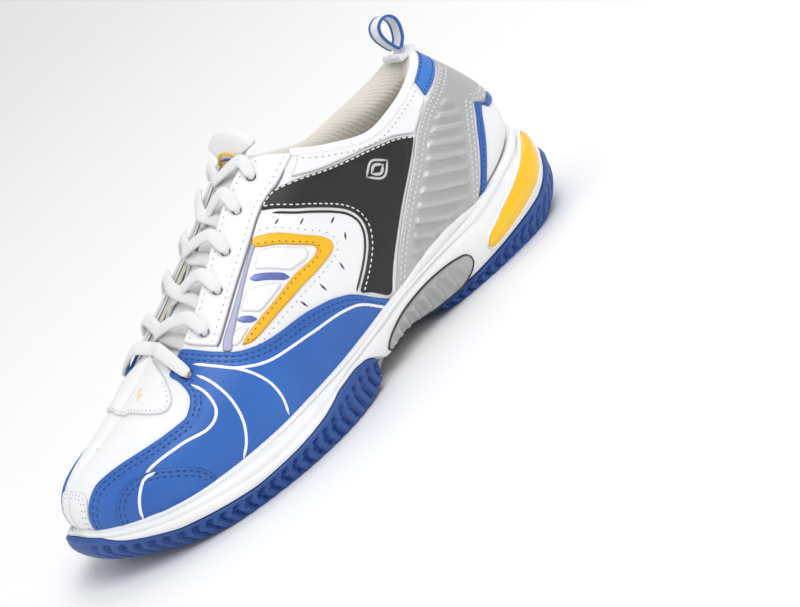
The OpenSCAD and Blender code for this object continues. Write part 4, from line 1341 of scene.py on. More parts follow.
    def window(self, side: Side) -> None:
        """Film field behind the eyestay with its two bars and three raised blocks.

        Args:
            side: Side of the shoe.
        """
        patch = Patch(side)
        band = [[(7.4, 0.61), (8.1, 0.535), (8.9, 0.47)], [(8.9, 0.47), (8.98, 0.44), (8.86, 0.4)],
                [(8.86, 0.4), (8.7, 0.435), (8.2, 0.495), (7.62, 0.56), (7.2, 0.6)], [(7.2, 0.6), (7.4, 0.61)]]
        Panel(f"side_window_{side.label}_film", side, band, 1.02, 1.6, FILM, 2.0, 0.5,
              replaces=(f"side_window_{side.label}",)).build()
        for tag, line, width in (("upper", [(7.88, 0.508), (7.45, 0.445), (7.08, 0.394)], 3.4),
                                 ("lower", [(8.5, 0.458), (8.33, 0.415), (8.2, 0.385)], 3.2)):
            line_strip(f"side_window_{side.label}_bar_{tag}", FILM_BLUE, patch, [line], width, 0.95, 1.45)
        blocks = (
            [[(7.42, 0.557), (7.72, 0.518)], [(7.72, 0.518), (7.3, 0.455), (6.95, 0.408)], [(6.95, 0.408),
             (6.5, 0.425), (6.28, 0.447)], [(6.28, 0.447), (6.32, 0.478), (6.75, 0.5), (7.42, 0.557)]],
            [[(8.08, 0.495), (8.4, 0.468)], [(8.4, 0.468), (8.22, 0.425), (8.08, 0.388)], [(8.08, 0.388),
             (7.6, 0.386), (7.28, 0.394)], [(7.28, 0.394), (7.65, 0.44), (8.08, 0.495)]],
            [[(8.66, 0.447), (8.84, 0.42)], [(8.84, 0.42), (8.78, 0.4), (8.7, 0.39)], [(8.7, 0.39),
             (8.36, 0.392)], [(8.36, 0.392), (8.48, 0.42), (8.66, 0.447)]])
        for number, block in enumerate(blocks):
            Panel(f"side_block_{side.label}_{number}", side, block, 0.95, 1.75, WHITE, 2.2, 1.6, rounding=3).build()

    def stripe(self, side: Side) -> None:
        """Yellow chevron with a dotted row beside it.

        Args:
            side: Side of the shoe.
        """
        upper = [(7.42, 0.616), (7, 0.583), (6.5, 0.554), (6.1, 0.532), (5.85, 0.51), (5.7, 0.484)]
        lower = [(5.7, 0.484), (5.65, 0.455), (5.83, 0.412), (6.2, 0.376), (6.6, 0.349), (7.2, 0.328),
                 (7.85, 0.328), (8.25, 0.333), (8.5, 0.345)]
        end = [(8.5, 0.345), (8.7, 0.38)]
        back = [(8.7, 0.38), (8.47, 0.382), (8.08, 0.375), (7.53, 0.372), (6.83, 0.393), (6.4, 0.415),
                (6.12, 0.44)]
        back_up = [(6.12, 0.44), (6.04, 0.46), (6.15, 0.484), (6.7, 0.51), (7.25, 0.552), (7.5, 0.588)]
        panel = Panel(f"stripe_{side.label}_leather", side,
                      [upper, lower, end, back, back_up, [(7.5, 0.588), (7.42, 0.616)]],
                      1.02, 1.95, YELLOW, 1.8, 0.8, replaces=(f"stripe_{side.label}",))
        panel.build()
        self.dark.follow(panel, (3, 4), (1.3,), 1.95, 3.0, 1.2)
        self.grey.follow(panel, (0, 1), (-2.6,), 1.05, 3.4, 0.9)

    def slits(self, side: Side) -> None:
        """Short dark vents round the arch of the white side.

        Args:
            side: Side of the shoe.
        """
        patch = Patch(side)
        spots = [(7.24, 0.65, 150), (6.69, 0.62, 152), (6.1, 0.605, 143), (5.44, 0.575, 138), (5.33, 0.47, 110),
                 (5.7, 0.335, 82), (6.38, 0.292, 58), (7.08, 0.278, 50)]
        half, station, height = 1.8, 22, 80  # millimetres: half a slit, one station, one height share
        lines = []
        for s, t, turn in spots:
            ds, dt = half / station * math.cos(math.radians(turn)), half / height * math.sin(math.radians(turn))
            lines.append([(s - ds, t - dt), (s, t), (s + ds, t + dt)])
        line_strip(f"vent_slits_{side.label}", INK_BLACK, patch, lines, 1.25, 0.85, 1.16)

    def heel_strap(self, side: Side) -> None:
        """Silver strap with embossed slanted ribs and double seams.

        Args:
            side: Side of the shoe.
        """
        def ribs(st: Array, d: Array, p: Array) -> Array:
            """Ridges across the strap that fade near its edges.

            Args:
                st: Points as station and height share.
                d: Their distance from the edge.
                p: The points in millimetres; not used.

            Returns:
                Height to add to each point.
            """
            s, t = st[:, 0], st[:, 1]
            step = ((t - 0.31 * s) / 0.126) % 1.0
            wave = smooth_step(step / 0.25) * (1 - smooth_step((step - 0.35) / 0.6))
            field = smooth_step((d - 6.2) / 1.4) * smooth_step((0.8 - t) / 0.05) * smooth_step((s - 1.9) / 0.2)
            return (2.5 * wave - 0.6) * field
        back = [(0.03, 0.83), (0.03, 0.36)]
        top = [(0.9, 0.83), (0.03, 0.83)]
        foot = [(2.93, 0), (4.93, 0)]
        panel = Panel(f"heel_strap_{side.label}_leather", side,
                      [STRAP_FRONT[::-1], top, back, STRAP_BACK, STRAP_LEG, foot], 1.02, 2.4, SILVER, 1.1, 1.0,
                      self.strap_seams, replaces=(f"heel_strap_{side.label}",), relief=ribs, depth=0.22)
        panel.build()
        self.white.follow(panel, (0, 3, 4), self.strap_seams, 2.32, 2.6, 1.5)

    def heel_trim(self) -> None:
        """Thin blue band under the strap, round the heel."""
        for side in Side:
            outer = [(0.0, 0.35), (0.7, 0.36), (1.36, 0.4), (1.62, 0.495)]
            leg = [(1.62, 0.495), (1.9, 0.44), (2.16, 0.37), (2.45, 0.24), (2.7, 0.1), (2.84, 0.0)]
            inner = [(2.66, 0), (2.5, 0.11), (2.25, 0.235), (1.98, 0.34), (1.74, 0.4), (1.52, 0.42), (1.34, 0.34),
                     (0.7, 0.29), (0, 0.28)]
            panel = Panel(f"heel_trim_{side.label}_leather", side, [outer, leg, [(2.84, 0), (2.66, 0)], inner,
                          [(0, 0.28), (0, 0.35)]], 1.02, 2.1, BLUE, 1.8, 0.8,
                          replaces=once(side, "heel_trim"))
            panel.build()
            self.navy.follow(panel, (0, 1), (1.5,), 2.1, 2.6, 1.5)

    def achilles(self) -> None:
        """Blue crescent at the top of the heel, stitched on both edges."""
        for side in Side:
            top = [(0, 0.995), (1, 0.995), (1.98, 0.99)]
            low = [(2.25, 0.865), (1.6, 0.85), (0.8, 0.85), (0, 0.85)]
            panel = Panel(f"achilles_{side.label}_leather", side,
                          [top, [(1.98, 0.99), (2.25, 0.865)], low, [(0, 0.85), (0, 0.995)]], 1.02, 2.3, SKY, 2.2,
                          1.0, (1.6,), replaces=once(side, "achilles_patch"), rounding=1)
            panel.build()
            self.navy.follow(panel, (0, 2), (1.6,), 2.2, 2.9, 2.0)

    def collar_panel(self, side: Side) -> None:
        """White band along the collar above the saddle.

        Args:
            side: Side of the shoe.
        """
        low = [(2.36, 0.85), (2.66, 0.845), (3.12, 0.79), (3.2, 0.79), (3.42, 0.855), (3.72, 0.92), (4.2, 0.947),
               (4.8, 0.915), (5.5, 0.868), (5.95, 0.845)]
        front = [(5.95, 0.845), (5.78, 0.9), (5.6, 0.99)]
        top = [(5.6, 0.99), (4.5, 0.992), (3, 0.992), (2.16, 0.99)]
        panel = Panel(f"collar_panel_{side.label}_leather", side, [low, front, top, [(2.16, 0.99), (2.36, 0.85)]],
                      1.02, 2.15, WHITE, 2.2, 0.9, replaces=(f"collar_panel_{side.label}",))
        panel.build()
        self.grey.follow(panel, (2,), (2.4,), 2.15, 3.2, 1.4)

    def toe_cap(self) -> None:
        """White bumper piece at the front of the toe."""
        for side in Side:
            back = [(13.22, 0), (13.05, 0.2), (12.9, 0.36), (13.1, 0.46), (13.6, 0.5), (13.99, 0.51)]
            panel = Panel(f"toe_cap_{side.label}_leather", side, [back, [(13.99, 0.51), (13.99, 0)],
                          [(13.99, 0), (13.22, 0)]], 1.0, 1.9, WHITE, 1.8, 0.9,
                          replaces=once(side, "toe_cap"), rounding=0)
            panel.build()
            self.grey.follow(panel, (0,), (1.4, 3.0), 1.85, 2.8, 1.2)

    def throat_patch(self) -> None:
        """D-shaped patch at the foot of the laces, with a small plain mark."""
        for side in Side:
            rim = [(9.92, 0.7), (10.02, 0.57), (10.25, 0.56), (10.58, 0.68), (10.9, 0.84), (11.14, 0.93),
                   (11.22, 0.998)]
            panel = Panel(f"throat_patch_{side.label}_leather", side,
                          [rim, [(11.22, 0.998), (9.92, 0.998)], [(9.92, 0.998), (9.92, 0.7)]], 1.0, 2.3, WHITE,
                          2.0, 0.9, replaces=once(side, "throat_patch"), rounding=0)
            panel.build()
            self.grey.follow(panel, (0,), (1.6,), 2.25, 2.6, 1.1)
        line_strip("throat_patch_mark", INK_ORANGE, Patch(Side.OUTER),
                   [[(10.35, 0.86), (10.45, 0.89), (10.55, 0.87)], [(10.42, 0.82), (10.52, 0.85), (10.62, 0.83)]],
                   0.9, 2.2, 2.5)


# Height share of the wall where the outsole ends and the midsole starts.
RIM = [(0, 0.72), (1.4, 0.62), (2.2, 0.4), (3, 0.27), (3.6, 0.17), (4.2, 0.12), (4.6, 0.05), (5.6, 0.05),
       (5.9, 0.2), (6.1, 0.42), (6.45, 0.66), (6.9, 0.76), (7.6, 0.74), (8.2, 0.58), (8.8, 0.47), (9.6, 0.36),
       (11, 0.4), (12, 0.62), (12.8, 0.86), (14, 0.9)]
BED = [(0, 31), (3, 28), (5, 25), (7, 21), (10, 18.5), (12, 20.5), (14, 22)]
INSERT = [(-3, 16), (0, 19), (16, 22), (19, 31), (42, 33), (66, 29), (72, 25), (73, 11), (78, 2), (87, -8),
          (86, -14), (80, -15), (63, -10), (50, -4), (40, -4), (33, -9), (29, -16), (26, -21), (6, -16), (3, -12),
          (5, -2), (1, 6)]
SPINE_BACK, SPINE_FRONT = -112.0, 100.0


def inset(p: Array, d: float) -> Array:
    """Points moved in from the wall towards the sole's middle line.

    Args:
        p: Points.
        d: Millimetres to move them by.

    Returns:
        The moved points.
    """
    r = np.stack([p[..., 0] - np.clip(p[..., 0], SPINE_BACK, SPINE_FRONT), p[..., 1]], -1)
    q = p.copy()
    q[..., :2] -= unit(r) * d
    return q


def spine(p: Array, share: Array) -> Array:
    """Points moved part of the way to the sole's middle line.

    Args:
        p: Points.
        share: Share of the way.

    Returns:
        The moved points.
    """
    q = p.copy()
    mid = np.stack([np.clip(p[..., 0], SPINE_BACK, SPINE_FRONT), np.zeros(p.shape[:-1])], -1)
    q[..., :2] = p[..., :2] + (mid - p[..., :2]) * share
    return q


def outline_gap(x: Array, y: Array, ring: Points) -> Array:
    """Distance to a closed outline in plan.

    Args:
        x: Places along the shoe.
        y: Places across it.
        ring: Corners of the outline.

    Returns:
        Millimetres to the outline, negative inside.
    """
    ring = np.asarray(ring, float)
    p = np.stack([x.ravel(), y.ravel()], 1)
    a, b = ring, np.roll(ring, -1, 0)
    ab = b - a
    f = np.clip(((p[:, None] - a) * ab).sum(2) / (ab * ab).sum(1), 0, 1)
    gap = np.linalg.norm(p[:, None] - (a + ab * f[..., None]), axis=2).min(1)
    return np.where(inside(ring, p), -gap, gap).reshape(x.shape)


@dataclass
class Sole:
    """Outsoles, midsole, inlays and footbed, with sizes in millimetres."""

    outsole_t: float = 5.0
    inlay_gap: float = 0.4
    disc: tuple = (47.0, -27.0)
    disc_r: float = 12.5
    groove: float = 1.9
    wave_pitch: float = 5.6
    pocket: float = 3.4
    notch_pitch: float = 6.4
    notch_depth: float = 2.1
    star: float = 7.5
    rib_pitch: float = 4.2

    def build(self) -> None:
        """Build every piece of the sole."""
        self.midsole()
        self.outsole("outsole_forefoot", 6.2, 13.96, 0.045)
        self.outsole("outsole_heel", 0.04, 4.4, 0.045)
        self.inlays()
        self.shank()
        for side in Side:
            self.arch_window(side)
            self.heel_insert(side)
        self.footbed()

    @staticmethod
    def _ring(s: Array, place: Callable) -> Array:
        """Points round the sole, inner side first, back to front and round again."""
        return np.vstack([place(Side.INNER, s)[::-1], place(Side.OUTER, s)])

    def _loft(self, levels: list) -> tuple:
        """Closed solid through rings of matching points; the first and last rings are zipped shut.

        Args:
            levels: Rings from bottom to top on the outside, then down the inside if hollow.

        Returns:
            Points, faces and the cloth coordinates.
        """
        ring = len(levels[0])
        n = ring // 2
        faces = grid_faces(len(levels), ring, wrap=True)
        top = (len(levels) - 1) * ring
        for i in range(n - 1):
            faces.append((i, i + 1, ring - 2 - i, ring - 1 - i))
            faces.append((top + i + 1, top + i, top + ring - 1 - i, top + ring - 2 - i))
        verts = np.vstack(levels)
        return verts, faces, verts[:, :2] / 10

    def midsole(self) -> None:
        """Moulded white foam with two tiers, a ridge line and a lip that climbs the arch."""
        s = np.unique(np.concatenate([np.arange(0.04, 4.4, 0.09), [4.42, 4.56], np.arange(4.6, 6.1, 0.09),
                                      [6.16], np.arange(6.22, 13.96, 0.09), [13.96]]))
        rim = lookup(s, RIM) + 0.02
        lip = 0.02 + 0.065 * smooth_step((s - 2.8) / 0.9) * smooth_step((4.9 - s) / 1.0) \
            + 0.04 * smooth_step((1.2 - s) / 1.2)
        ridge = np.interp(s, [0, 2.4, 3.3, 4.2, 4.8, 5.5, 6.3, 7, 8.2, 9.5, 12, 14],
                          [0.93, 0.92, 0.84, 0.9, 0.88, 0.82, 0.85, 0.88, 0.76, 0.6, 0.8, 0.95])
        levels = [self._ring(s, self._floor),
                  self._ring(s, lambda d, x: LAST.wall(d, x, rim) + [0, 0, 0.4])]
        for share in np.linspace(0.06, 0.9, 8):
            levels.append(self._ring(s, lambda d, x: LAST.on_wall(
                d, x, rim + (ridge - rim) * share, 0.9 * np.sin(math.pi * share) ** 0.6)))
        for share, off in ((0.0, -0.5), (0.06, -0.35), (0.2, 0.45), (0.5, 0.8), (0.8, 0.5)):
            levels.append(self._ring(s, lambda d, x: LAST.on_wall(
                d, x, np.minimum(1, ridge + (1 - ridge) * share), off)))
        for share, off in ((0.0, 4.4), (0.4, 4.1), (0.75, 3.7), (0.93, 3.3), (1.0, 2.7), (0.96, 2.0)):
            levels.append(self._ring(s, lambda d, x: self._lip(d, x, lip * share, off, 1 - share)))
        levels.append(self._ring(s, lambda d, x: LAST.on(d, x, 0.0, 1.2)))
        levels.append(self._ring(s, lambda d, x: self._bed(d, x, 0.0, 9.0)))
        verts, faces, cloth = self._loft(levels)
        make_piece("midsole_moulding", FOAM, verts, faces, "shoe", cloth, sharp=55, replaces=("midsole",))

    @staticmethod
    def _lip(side: Side, s: Array, t: Array, off: float, down: float) -> Array:
        """Points of the lip, which starts on the wall's top edge and hugs the upper.

        Args:
            side: Side of the shoe.
            s: Stations.
            t: Height shares on the upper.
            off: Distance off the upper.
            down: Share of the way back to the wall's edge.

        Returns:
            The points.
        """
        high = LAST.on(side, s, t, off)
        edge = LAST.on_wall(side, s, 1.0, 0.1)
        return high + (edge - high) * smooth_step(np.array(down)) ** 2

    def _floor(self, side: Side, s: Array) -> Array:
        """Underside of the midsole, above the outsole and the shank.

        Args:
            side: Side of the shoe.
            s: Stations.

        Returns:
            The points.
        """
        p = inset(LAST.wall(side, s, lookup(s, RIM) + 0.03), 12.4)
        arch = (s > 4.43) & (s < 6.14)
        p[:, 2] = LAST.wall(side, s, 0.0)[:, 2] + np.where(arch, 3.2, self.outsole_t + 0.2) + 0.35
        return p

    @staticmethod
    def _bed(side: Side, s: Array, lift: float, off: float) -> Array:
        """Points on the foot bed.

        Args:
            side: Side of the shoe.
            s: Stations.
            lift: Height over the bed.
            off: Distance in from the wall's top edge.

        Returns:
            The points.
        """
        p = inset(LAST.wall(side, s, 1.0), off)
        p[:, 2] = lookup(s, BED) + lift
        return p

    def tread(self, x: Array, y: Array, heel: bool) -> Array:
        """Depth share of the wavy herringbone.

        Args:
            x: Places along the shoe.
            y: Places across it.
            heel: Whether it is the heel's tread.

        Returns:
            0 on a block and 1 in a groove.
        """
        wave = 5.12 * np.abs(((y + 4) / 11.0) % 2 - 1)
        f = ((x + wave) / self.wave_pitch) % 1.0
        groove = 1 - smooth_step(np.abs(f - 0.5) / 0.17 - 0.45)
        channels = [(-4.0, 16.0)] if heel else [(20.0, 26.0), (-22.0, 20.0)]
        for base, swing in channels:
            line = base + swing * 0.25 * np.sin((x + 60) / 34.0)
            gap = np.abs(y - line)
            groove = np.maximum(groove * smooth_step((gap - 2.2) / 0.8), 1 - smooth_step((gap - 1.1) / 0.8))
        return groove

    def outsole(self, node: str, s0: float, s1: float, step: float) -> None:
        """Blue tread plate with herringbone, channels and notched side wall.

        Args:
            node: Model node that the plate stands for.
            s0: First station.
            s1: Last station.
            step: Station step.
        """
        heel = s0 < 1
        s = np.linspace(s0, s1, int((s1 - s0) / step))
        rim = lookup(s, RIM)
        levels = []
        for share in np.linspace(0.97, 0.0, 44):
            def place(d: Side, x: Array, share: float = share) -> Array:
                """Points of the underside.

                Args:
                    d: Side of the shoe.
                    x: Stations.
                    share: Share of the way in to the middle line.

                Returns:
                    The points.
                """
                ground = LAST.wall(d, x, 0.0)
                p = spine(inset(ground, 1.6), share)
                edge = smooth_step(np.array((share - 0.015) * 40))
                deep = self.tread(p[:, 0], p[:, 1], heel) * self.groove * edge
                if not heel:
                    gap = np.minimum(outline_gap(p[:, 0], p[:, 1], INSERT),
                                     np.hypot(p[:, 0] - self.disc[0], p[:, 1] - self.disc[1]) - self.disc_r)
                    deep = np.where(gap < 1.0, 0.15, deep)
                    deep = np.where(gap < 0.3, self.pocket, deep)
                p[:, 2] = ground[:, 2] + deep
                return p
            levels.append(self._ring(s, place))
        for v in np.linspace(0.02, 1.0, 18):
            def side_wall(d: Side, x: Array, v: float = v) -> Array:
                """Points of the side wall, with its notches and bead.

                Args:
                    d: Side of the shoe.
                    x: Stations.
                    v: Height share.

                Returns:
                    The points.
                """
                base = LAST.wall(d, x, 0.2)
                far = np.linalg.norm(np.diff(base, axis=0, prepend=base[:1]), axis=1).cumsum()
                chevron = ((far + 7.0 * np.abs(v - 0.45)) / self.notch_pitch) % 1.0
                notch = 1 - smooth_step(np.abs(chevron - 0.5) / 0.14 - 0.7)
                low = smooth_step((0.8 - v) / 0.1) * smooth_step(v / 0.08)
                ribbed = 1 - smooth_step((x - 12.9) / 0.4) if not heel else 1 - smooth_step((0.6 - x) / 0.3) * 0.8
                bead = 0.7 * np.exp(-((v - 0.9) / 0.07) ** 2)
                return LAST.on_wall(d, x, rim * v, bead - self.notch_depth * notch * low * ribbed)
            levels.append(self._ring(s, side_wall))
        levels.append(self._ring(s, lambda d, x: inset(LAST.wall(d, x, rim), 3.0)))

        def back(d: Side, x: Array) -> Array:
            """Points of the upper face.

            Args:
                d: Side of the shoe.
                x: Stations.

            Returns:
                The points.
            """
            p = inset(LAST.wall(d, x, rim), 12.0)
            p[:, 2] = LAST.wall(d, x, 0.0)[:, 2] + self.outsole_t
            return p
        levels.append(self._ring(s, back))
        verts, faces, cloth = self._loft(levels)
        make_piece(f"{node}_tread", RUBBER, verts, faces, "shoe", cloth, sharp=42, replaces=(node,))

    def _plate(self, name: str, finish: Finish, ring: Points, step: float, height: Callable, top: float,
               node: str) -> None:
        """Flat inlay with a moulded underside.

        Args:
            name: Name of the piece.
            finish: Its finish.
            ring: Outline in plan.
            step: Spacing of its points.
            height: Height of the underside at a place in plan.
            top: Height of the upper face.
            node: Model node that the piece stands for.
        """
        ring = np.asarray(ring, float)
        d = np.linalg.norm(np.roll(ring, -1, 0) - ring, axis=1)
        far = np.concatenate([[0], d.cumsum()])
        closed = np.vstack([ring, ring[:1]])
        x = np.linspace(0, far[-1], int(far[-1] / step) + 1)[:-1]
        rim = np.stack([np.interp(x, far, closed[:, 0]), np.interp(x, far, closed[:, 1])], 1)
        low, high = rim.min(0), rim.max(0)
        gx, gy = np.meshgrid(np.arange(low[0], high[0], step), np.arange(low[1], high[1], step * 0.87))
        gx = gx + (np.arange(gx.shape[0]) % 2)[:, None] * step / 2
        gap = outline_gap(gx, gy, rim[::3])
        bulk = np.stack([gx[gap < -0.6 * step], gy[gap < -0.6 * step]], 1)
        flat = np.vstack([rim, bulk])
        n = len(rim)
        p, tris = fill_outline(flat, [(i, (i + 1) % n) for i in range(n)], lambda mid: inside(rim, mid))
        inner = outline_gap(p[:, 0], p[:, 1], rim[::3])
        lower = np.column_stack([p, height(p[:, 0], p[:, 1], -inner)])
        upper = np.column_stack([p, np.full(len(p), top)])
        make_piece(name, finish, np.vstack([upper, lower]), close_sheet(tris, len(p)), "shoe",
                   np.vstack([p, p]) / 10, sharp=35, replaces=(node,))

    def inlays(self) -> None:
        """Yellow insert with star facets and the pivot disc with its rings."""
        def stars(x: Array, y: Array, d: Array) -> Array:
            """Three-way facets that meet in small stars.

            Args:
                x: Places along the shoe.
                y: Places across it.
                d: Their distance from the edge.

            Returns:
                Height of the underside.
            """
            turns = [math.radians(60 * k + 15) for k in range(3)]
            lift = sum(np.abs((x * math.cos(a) + y * math.sin(a)) / self.star % 1.0 - 0.5) for a in turns)
            field = smooth_step((d - 1.6) / 0.8)
            return 0.5 + np.clip(2.3 - 2.0 * lift, 0, 2.3) * field

        def rings(x: Array, y: Array, d: Array) -> Array:
            """Round ring, hollow and a curved fin.

            Args:
                x: Places along the shoe.
                y: Places across it.
                d: Their distance from the edge.

            Returns:
                Height of the underside.
            """
            px, py = x - self.disc[0], y - self.disc[1]
            r = np.hypot(px, py)
            turn = np.arctan2(py, px)
            ring = np.exp(-((r - 8.4) / 1.6) ** 2) + np.exp(-((r - 2.6) / 1.3) ** 2)
            fin = np.exp(-((turn - 0.25 * r - 0.6) / 0.35) ** 2) * smooth_step((7 - r) / 2)
            return 0.7 + 1.3 * (1 - np.minimum(1, ring + fin)) * smooth_step((d - 0.8) / 0.6)
        top, r = self.outsole_t - self.inlay_gap, self.disc_r - 0.1
        self._plate("forefoot_insert_stars", GOLD, INSERT, 0.95, stars, top, "forefoot_insert")
        a = np.linspace(0, 2 * math.pi, 97)[:-1]
        disc = np.stack([self.disc[0] + r * np.cos(a), self.disc[1] + r * np.sin(a)], 1)
        self._plate("pivot_disc_rings", GOLD, disc, 0.8, rings, top, "pivot_disc")

    def shank(self) -> None:
        """Grey midfoot plate with fine ribs along the foot."""
        s = np.linspace(4.42, 6.12, 40)

        def level(lift: float, share: float, ribbed: bool) -> Callable:
            """Make one ring's place function.

            Args:
                lift: Height over the ground line.
                share: Share of the way to the middle line.
                ribbed: Whether the ribs are on it.

            Returns:
                The function.
            """
            def place(d: Side, x: Array) -> Array:
                """Points of the ring.

                Args:
                    d: Side of the shoe.
                    x: Stations.

                Returns:
                    The points.
                """
                ground = LAST.wall(d, x, 0.0)
                p = spine(inset(ground, 6.0), share)
                rib = 0.5 * (0.5 + 0.5 * np.cos(p[:, 1] * 2 * math.pi / self.rib_pitch)) if ribbed else 0
                p[:, 2] = ground[:, 2] + lift - rib
                return p
            return place
        levels = [self._ring(s, level(0.2, share, True)) for share in np.linspace(0.98, 0, 40)]
        levels.append(self._ring(s, level(2.4, 0, False)))
        verts, faces, cloth = self._loft(levels)
        make_piece("shank_plate_ribbed", SMOKE, verts, faces, "shoe", cloth, sharp=60, replaces=("shank_plate",))

    def arch_window(self, side: Side) -> None:
        """Smoky window in the arch with eight upright ribs.

        Args:
            side: Side of the shoe.
        """
        def ribs(st: Array, d: Array, p: Array) -> Array:
            """Upright ribs that fade near the rim.

            Args:
                st: Points as station and height share.
                d: Their distance from the edge.
                p: The points in millimetres; not used.

            Returns:
                Height to add to each point.
            """
            wave = 0.5 + 0.5 * np.cos(2 * math.pi * (st[:, 0] - 0.3 * st[:, 1]) * 4.0)
            return (2.3 * wave ** 1.3 - 0.5) * smooth_step((d - 1.6) / 1.2)
        top = [(3.68, 0.5), (3.78, 0.58), (4.1, 0.66), (4.5, 0.7), (4.95, 0.67), (5.3, 0.59), (5.62, 0.47),
               (5.78, 0.34)]
        low = [(5.78, 0.34), (5.6, 0.16), (5.1, 0.09), (4.6, 0.08), (4.25, 0.14), (3.95, 0.18), (3.76, 0.26),
               (3.67, 0.38), (3.68, 0.5)]
        panel = Panel(f"arch_window_{side.label}_ribs", side, [top, low], 0.0, 1.5, SMOKE, 1.1, 1.2,
                      replaces=(f"arch_window_{side.label}",), relief=ribs, on_sole=True)
        panel.build()
        line_strip(f"arch_window_{side.label}_rim", INK_BLACK, panel.patch, [top, low], 0.8, 0.4, 1.75)

    def heel_insert(self, side: Side) -> None:
        """Glossy yellow leaf let into the heel of the midsole.

        Args:
            side: Side of the shoe.
        """
        def crown(st: Array, d: Array, p: Array) -> Array:
            """Soft ridge along the leaf."""
            return 1.1 * smooth_step(d / 4.5)
        top = [(0.75, 0.86), (1.1, 0.915), (1.5, 0.91), (2.0, 0.86), (2.5, 0.785), (2.95, 0.69), (3.28, 0.565),
               (3.4, 0.44)]
        low = [(3.4, 0.44), (3.33, 0.345), (3.05, 0.375), (2.75, 0.435), (2.45, 0.495), (2.1, 0.565), (1.75, 0.64),
               (1.4, 0.725), (1.0, 0.8), (0.75, 0.86)]
        panel = Panel(f"heel_insert_{side.label}_leaf", side, [top, low], -0.2, 1.7, AMBER, 1.6, 1.6,
                      replaces=(f"heel_insert_{side.label}",), relief=crown, on_sole=True)
        panel.build()
        line_strip(f"heel_insert_{side.label}_rim", FOAM, panel.patch, [top, low], 1.6, 0.2, 1.9)

    def footbed(self) -> None:
        """Loose cloth-topped footbed and the board under it."""
        s = np.linspace(0.06, 13.94, 70)
        for name, finish, rows, node in (
                ("footbed_cloth", FOOTBED, ((1.7, 12.0), (1.7, 10.9), (3.6, 10.9), (4.8, 11.4), (5.1, 12.6)),
                 "sockliner"),
                ("lasting_board", INSOLE, ((0.3, 12.5), (0.3, 11.5), (1.3, 11.5)), "strobel_board")):
            levels = [self._ring(s, lambda d, x, a=a, b=b: self._bed(d, x, a, b)) for a, b in rows]
            verts, faces, cloth = self._loft(levels)
            make_piece(name, finish, verts, faces, "shoe", cloth, replaces=(node,))


# Rows of the free flap: place along, height, radius across, half width.
FLAP = [(-17.5, 108.5, 22, 9.2), (-18.6, 116, 26, 10.2), (-21, 120.6, 32, 16.5), (-23.2, 125.8, 34, 25.5)]


@dataclass
class Tongue:
    """Padded tongue with its free flap and round badge, with sizes in millimetres."""

    body: str = "tongue_flap"
    off: float = -6.3
    thick: float = 3.2
    across: int = 15
    fill: float = 0.6
    badge_r: float = 7.6

    def build(self) -> None:
        """Build the pad and the badge."""
        outer, inner = self._sheet(0.5, 1.0), self._sheet(-self.thick, -0.6)
        verts, faces, cloth = shell(outer, inner)
        pad = make_piece("tongue_pad", WHITE, verts, faces, self.body, cloth, UNWORN,
                         replaces=("tongue",))
        self._badge(outer)

    def _sheet(self, off: float, crown: float) -> Array:
        """Grid of the tongue's face at a distance, thicker along the middle.

        Args:
            off: Distance off the tongue's outer face.
            crown: Extra swell in the middle.

        Returns:
            Rows by columns by three.
        """
        s, flap = np.linspace(10.3, 6.95, 46), curve(FLAP, 8)
        j = np.linspace(-1, 1, 2 * self.across + 1)
        swell = off + crown * (1 - np.abs(j) ** 2.5)
        edge = np.interp(-s, [-10.4, -9, -8, -7.25, -6.95], [0.66, 0.62, 0.72, 0.82, 0.88])
        rows = []
        for k, e in zip(s, edge):
            t = 1 - (1 - e) * np.abs(j)
            outer, inner = (LAST.on(side, k, t, self.off + swell) for side in Side)
            rows.append(np.where((j < 0)[:, None], outer, inner))
        last = len(flap) - 1
        for i, (x, z, r, half) in enumerate(flap):
            close = max(0.0, i / last - 0.72) / 0.28
            half = half * math.sqrt(max(0.04, 1 - 0.8 * close ** 3))
            a = -j * half / r
            o = swell * (1 - 0.5 * close ** 2)
            rows.append(np.stack([x + 0.94 * o, (r + o) * np.sin(a),
                                  z - r * (1 - np.cos(a)) * 0.8 + 0.3 * o], 1))
        return np.stack(rows)

    def _badge(self, face: Array) -> None:
        """Round woven badge: a ring with three plain bars.

        Args:
            face: Grid of the tongue's outer face.
        """
        mid = self.across
        centre = (face[-20, mid] + face[-21, mid]) / 2
        along = unit(face[-14, mid] - face[-26, mid])
        across = unit(face[-20, mid + 3] - face[-20, mid - 3])
        out = unit(np.cross(along, across))
        if out[0] < 0:
            out = -out

        def spot(x: Array, y: Array, lift: float) -> Array:
            """Point of the badge bent over the tongue's crown."""
            bend = -(x ** 2) / 60.0
            return centre + across * x[:, None] + along * y[:, None] + out * (lift + bend)[:, None]
        a = np.linspace(0, 2 * math.pi, 49)
        bar, bow = np.linspace(-3.8, 3.8, 15), 0.9 * np.cos(np.linspace(-1.5, 1.5, 15))
        shapes = (("ring", GOLD, self.badge_r * np.cos(a), self.badge_r * np.sin(a), 1.7, ("tongue_badge",)),
                  ("bar_upper", INK_BLUE, bar, 2.3 + bow, 1.5, ()), ("bar_lower", INK_BLUE, bar, -2.6 - bow, 1.5, ()),
                  ("bar_middle", GOLD, np.linspace(-4.4, 4.4, 15), np.zeros(15), 1.5, ()))
        for tag, finish, x, y, wide, node in shapes:
            path = spot(x, y, 0.75)
            verts, faces, cloth = sweep(path, np.broadcast_to(out, path.shape), np.full(len(path), wide),
                                        np.full(len(path), 0.8), 10)
            make_piece(f"tongue_badge_{tag}", finish, verts, faces, self.body, cloth, replaces=node)


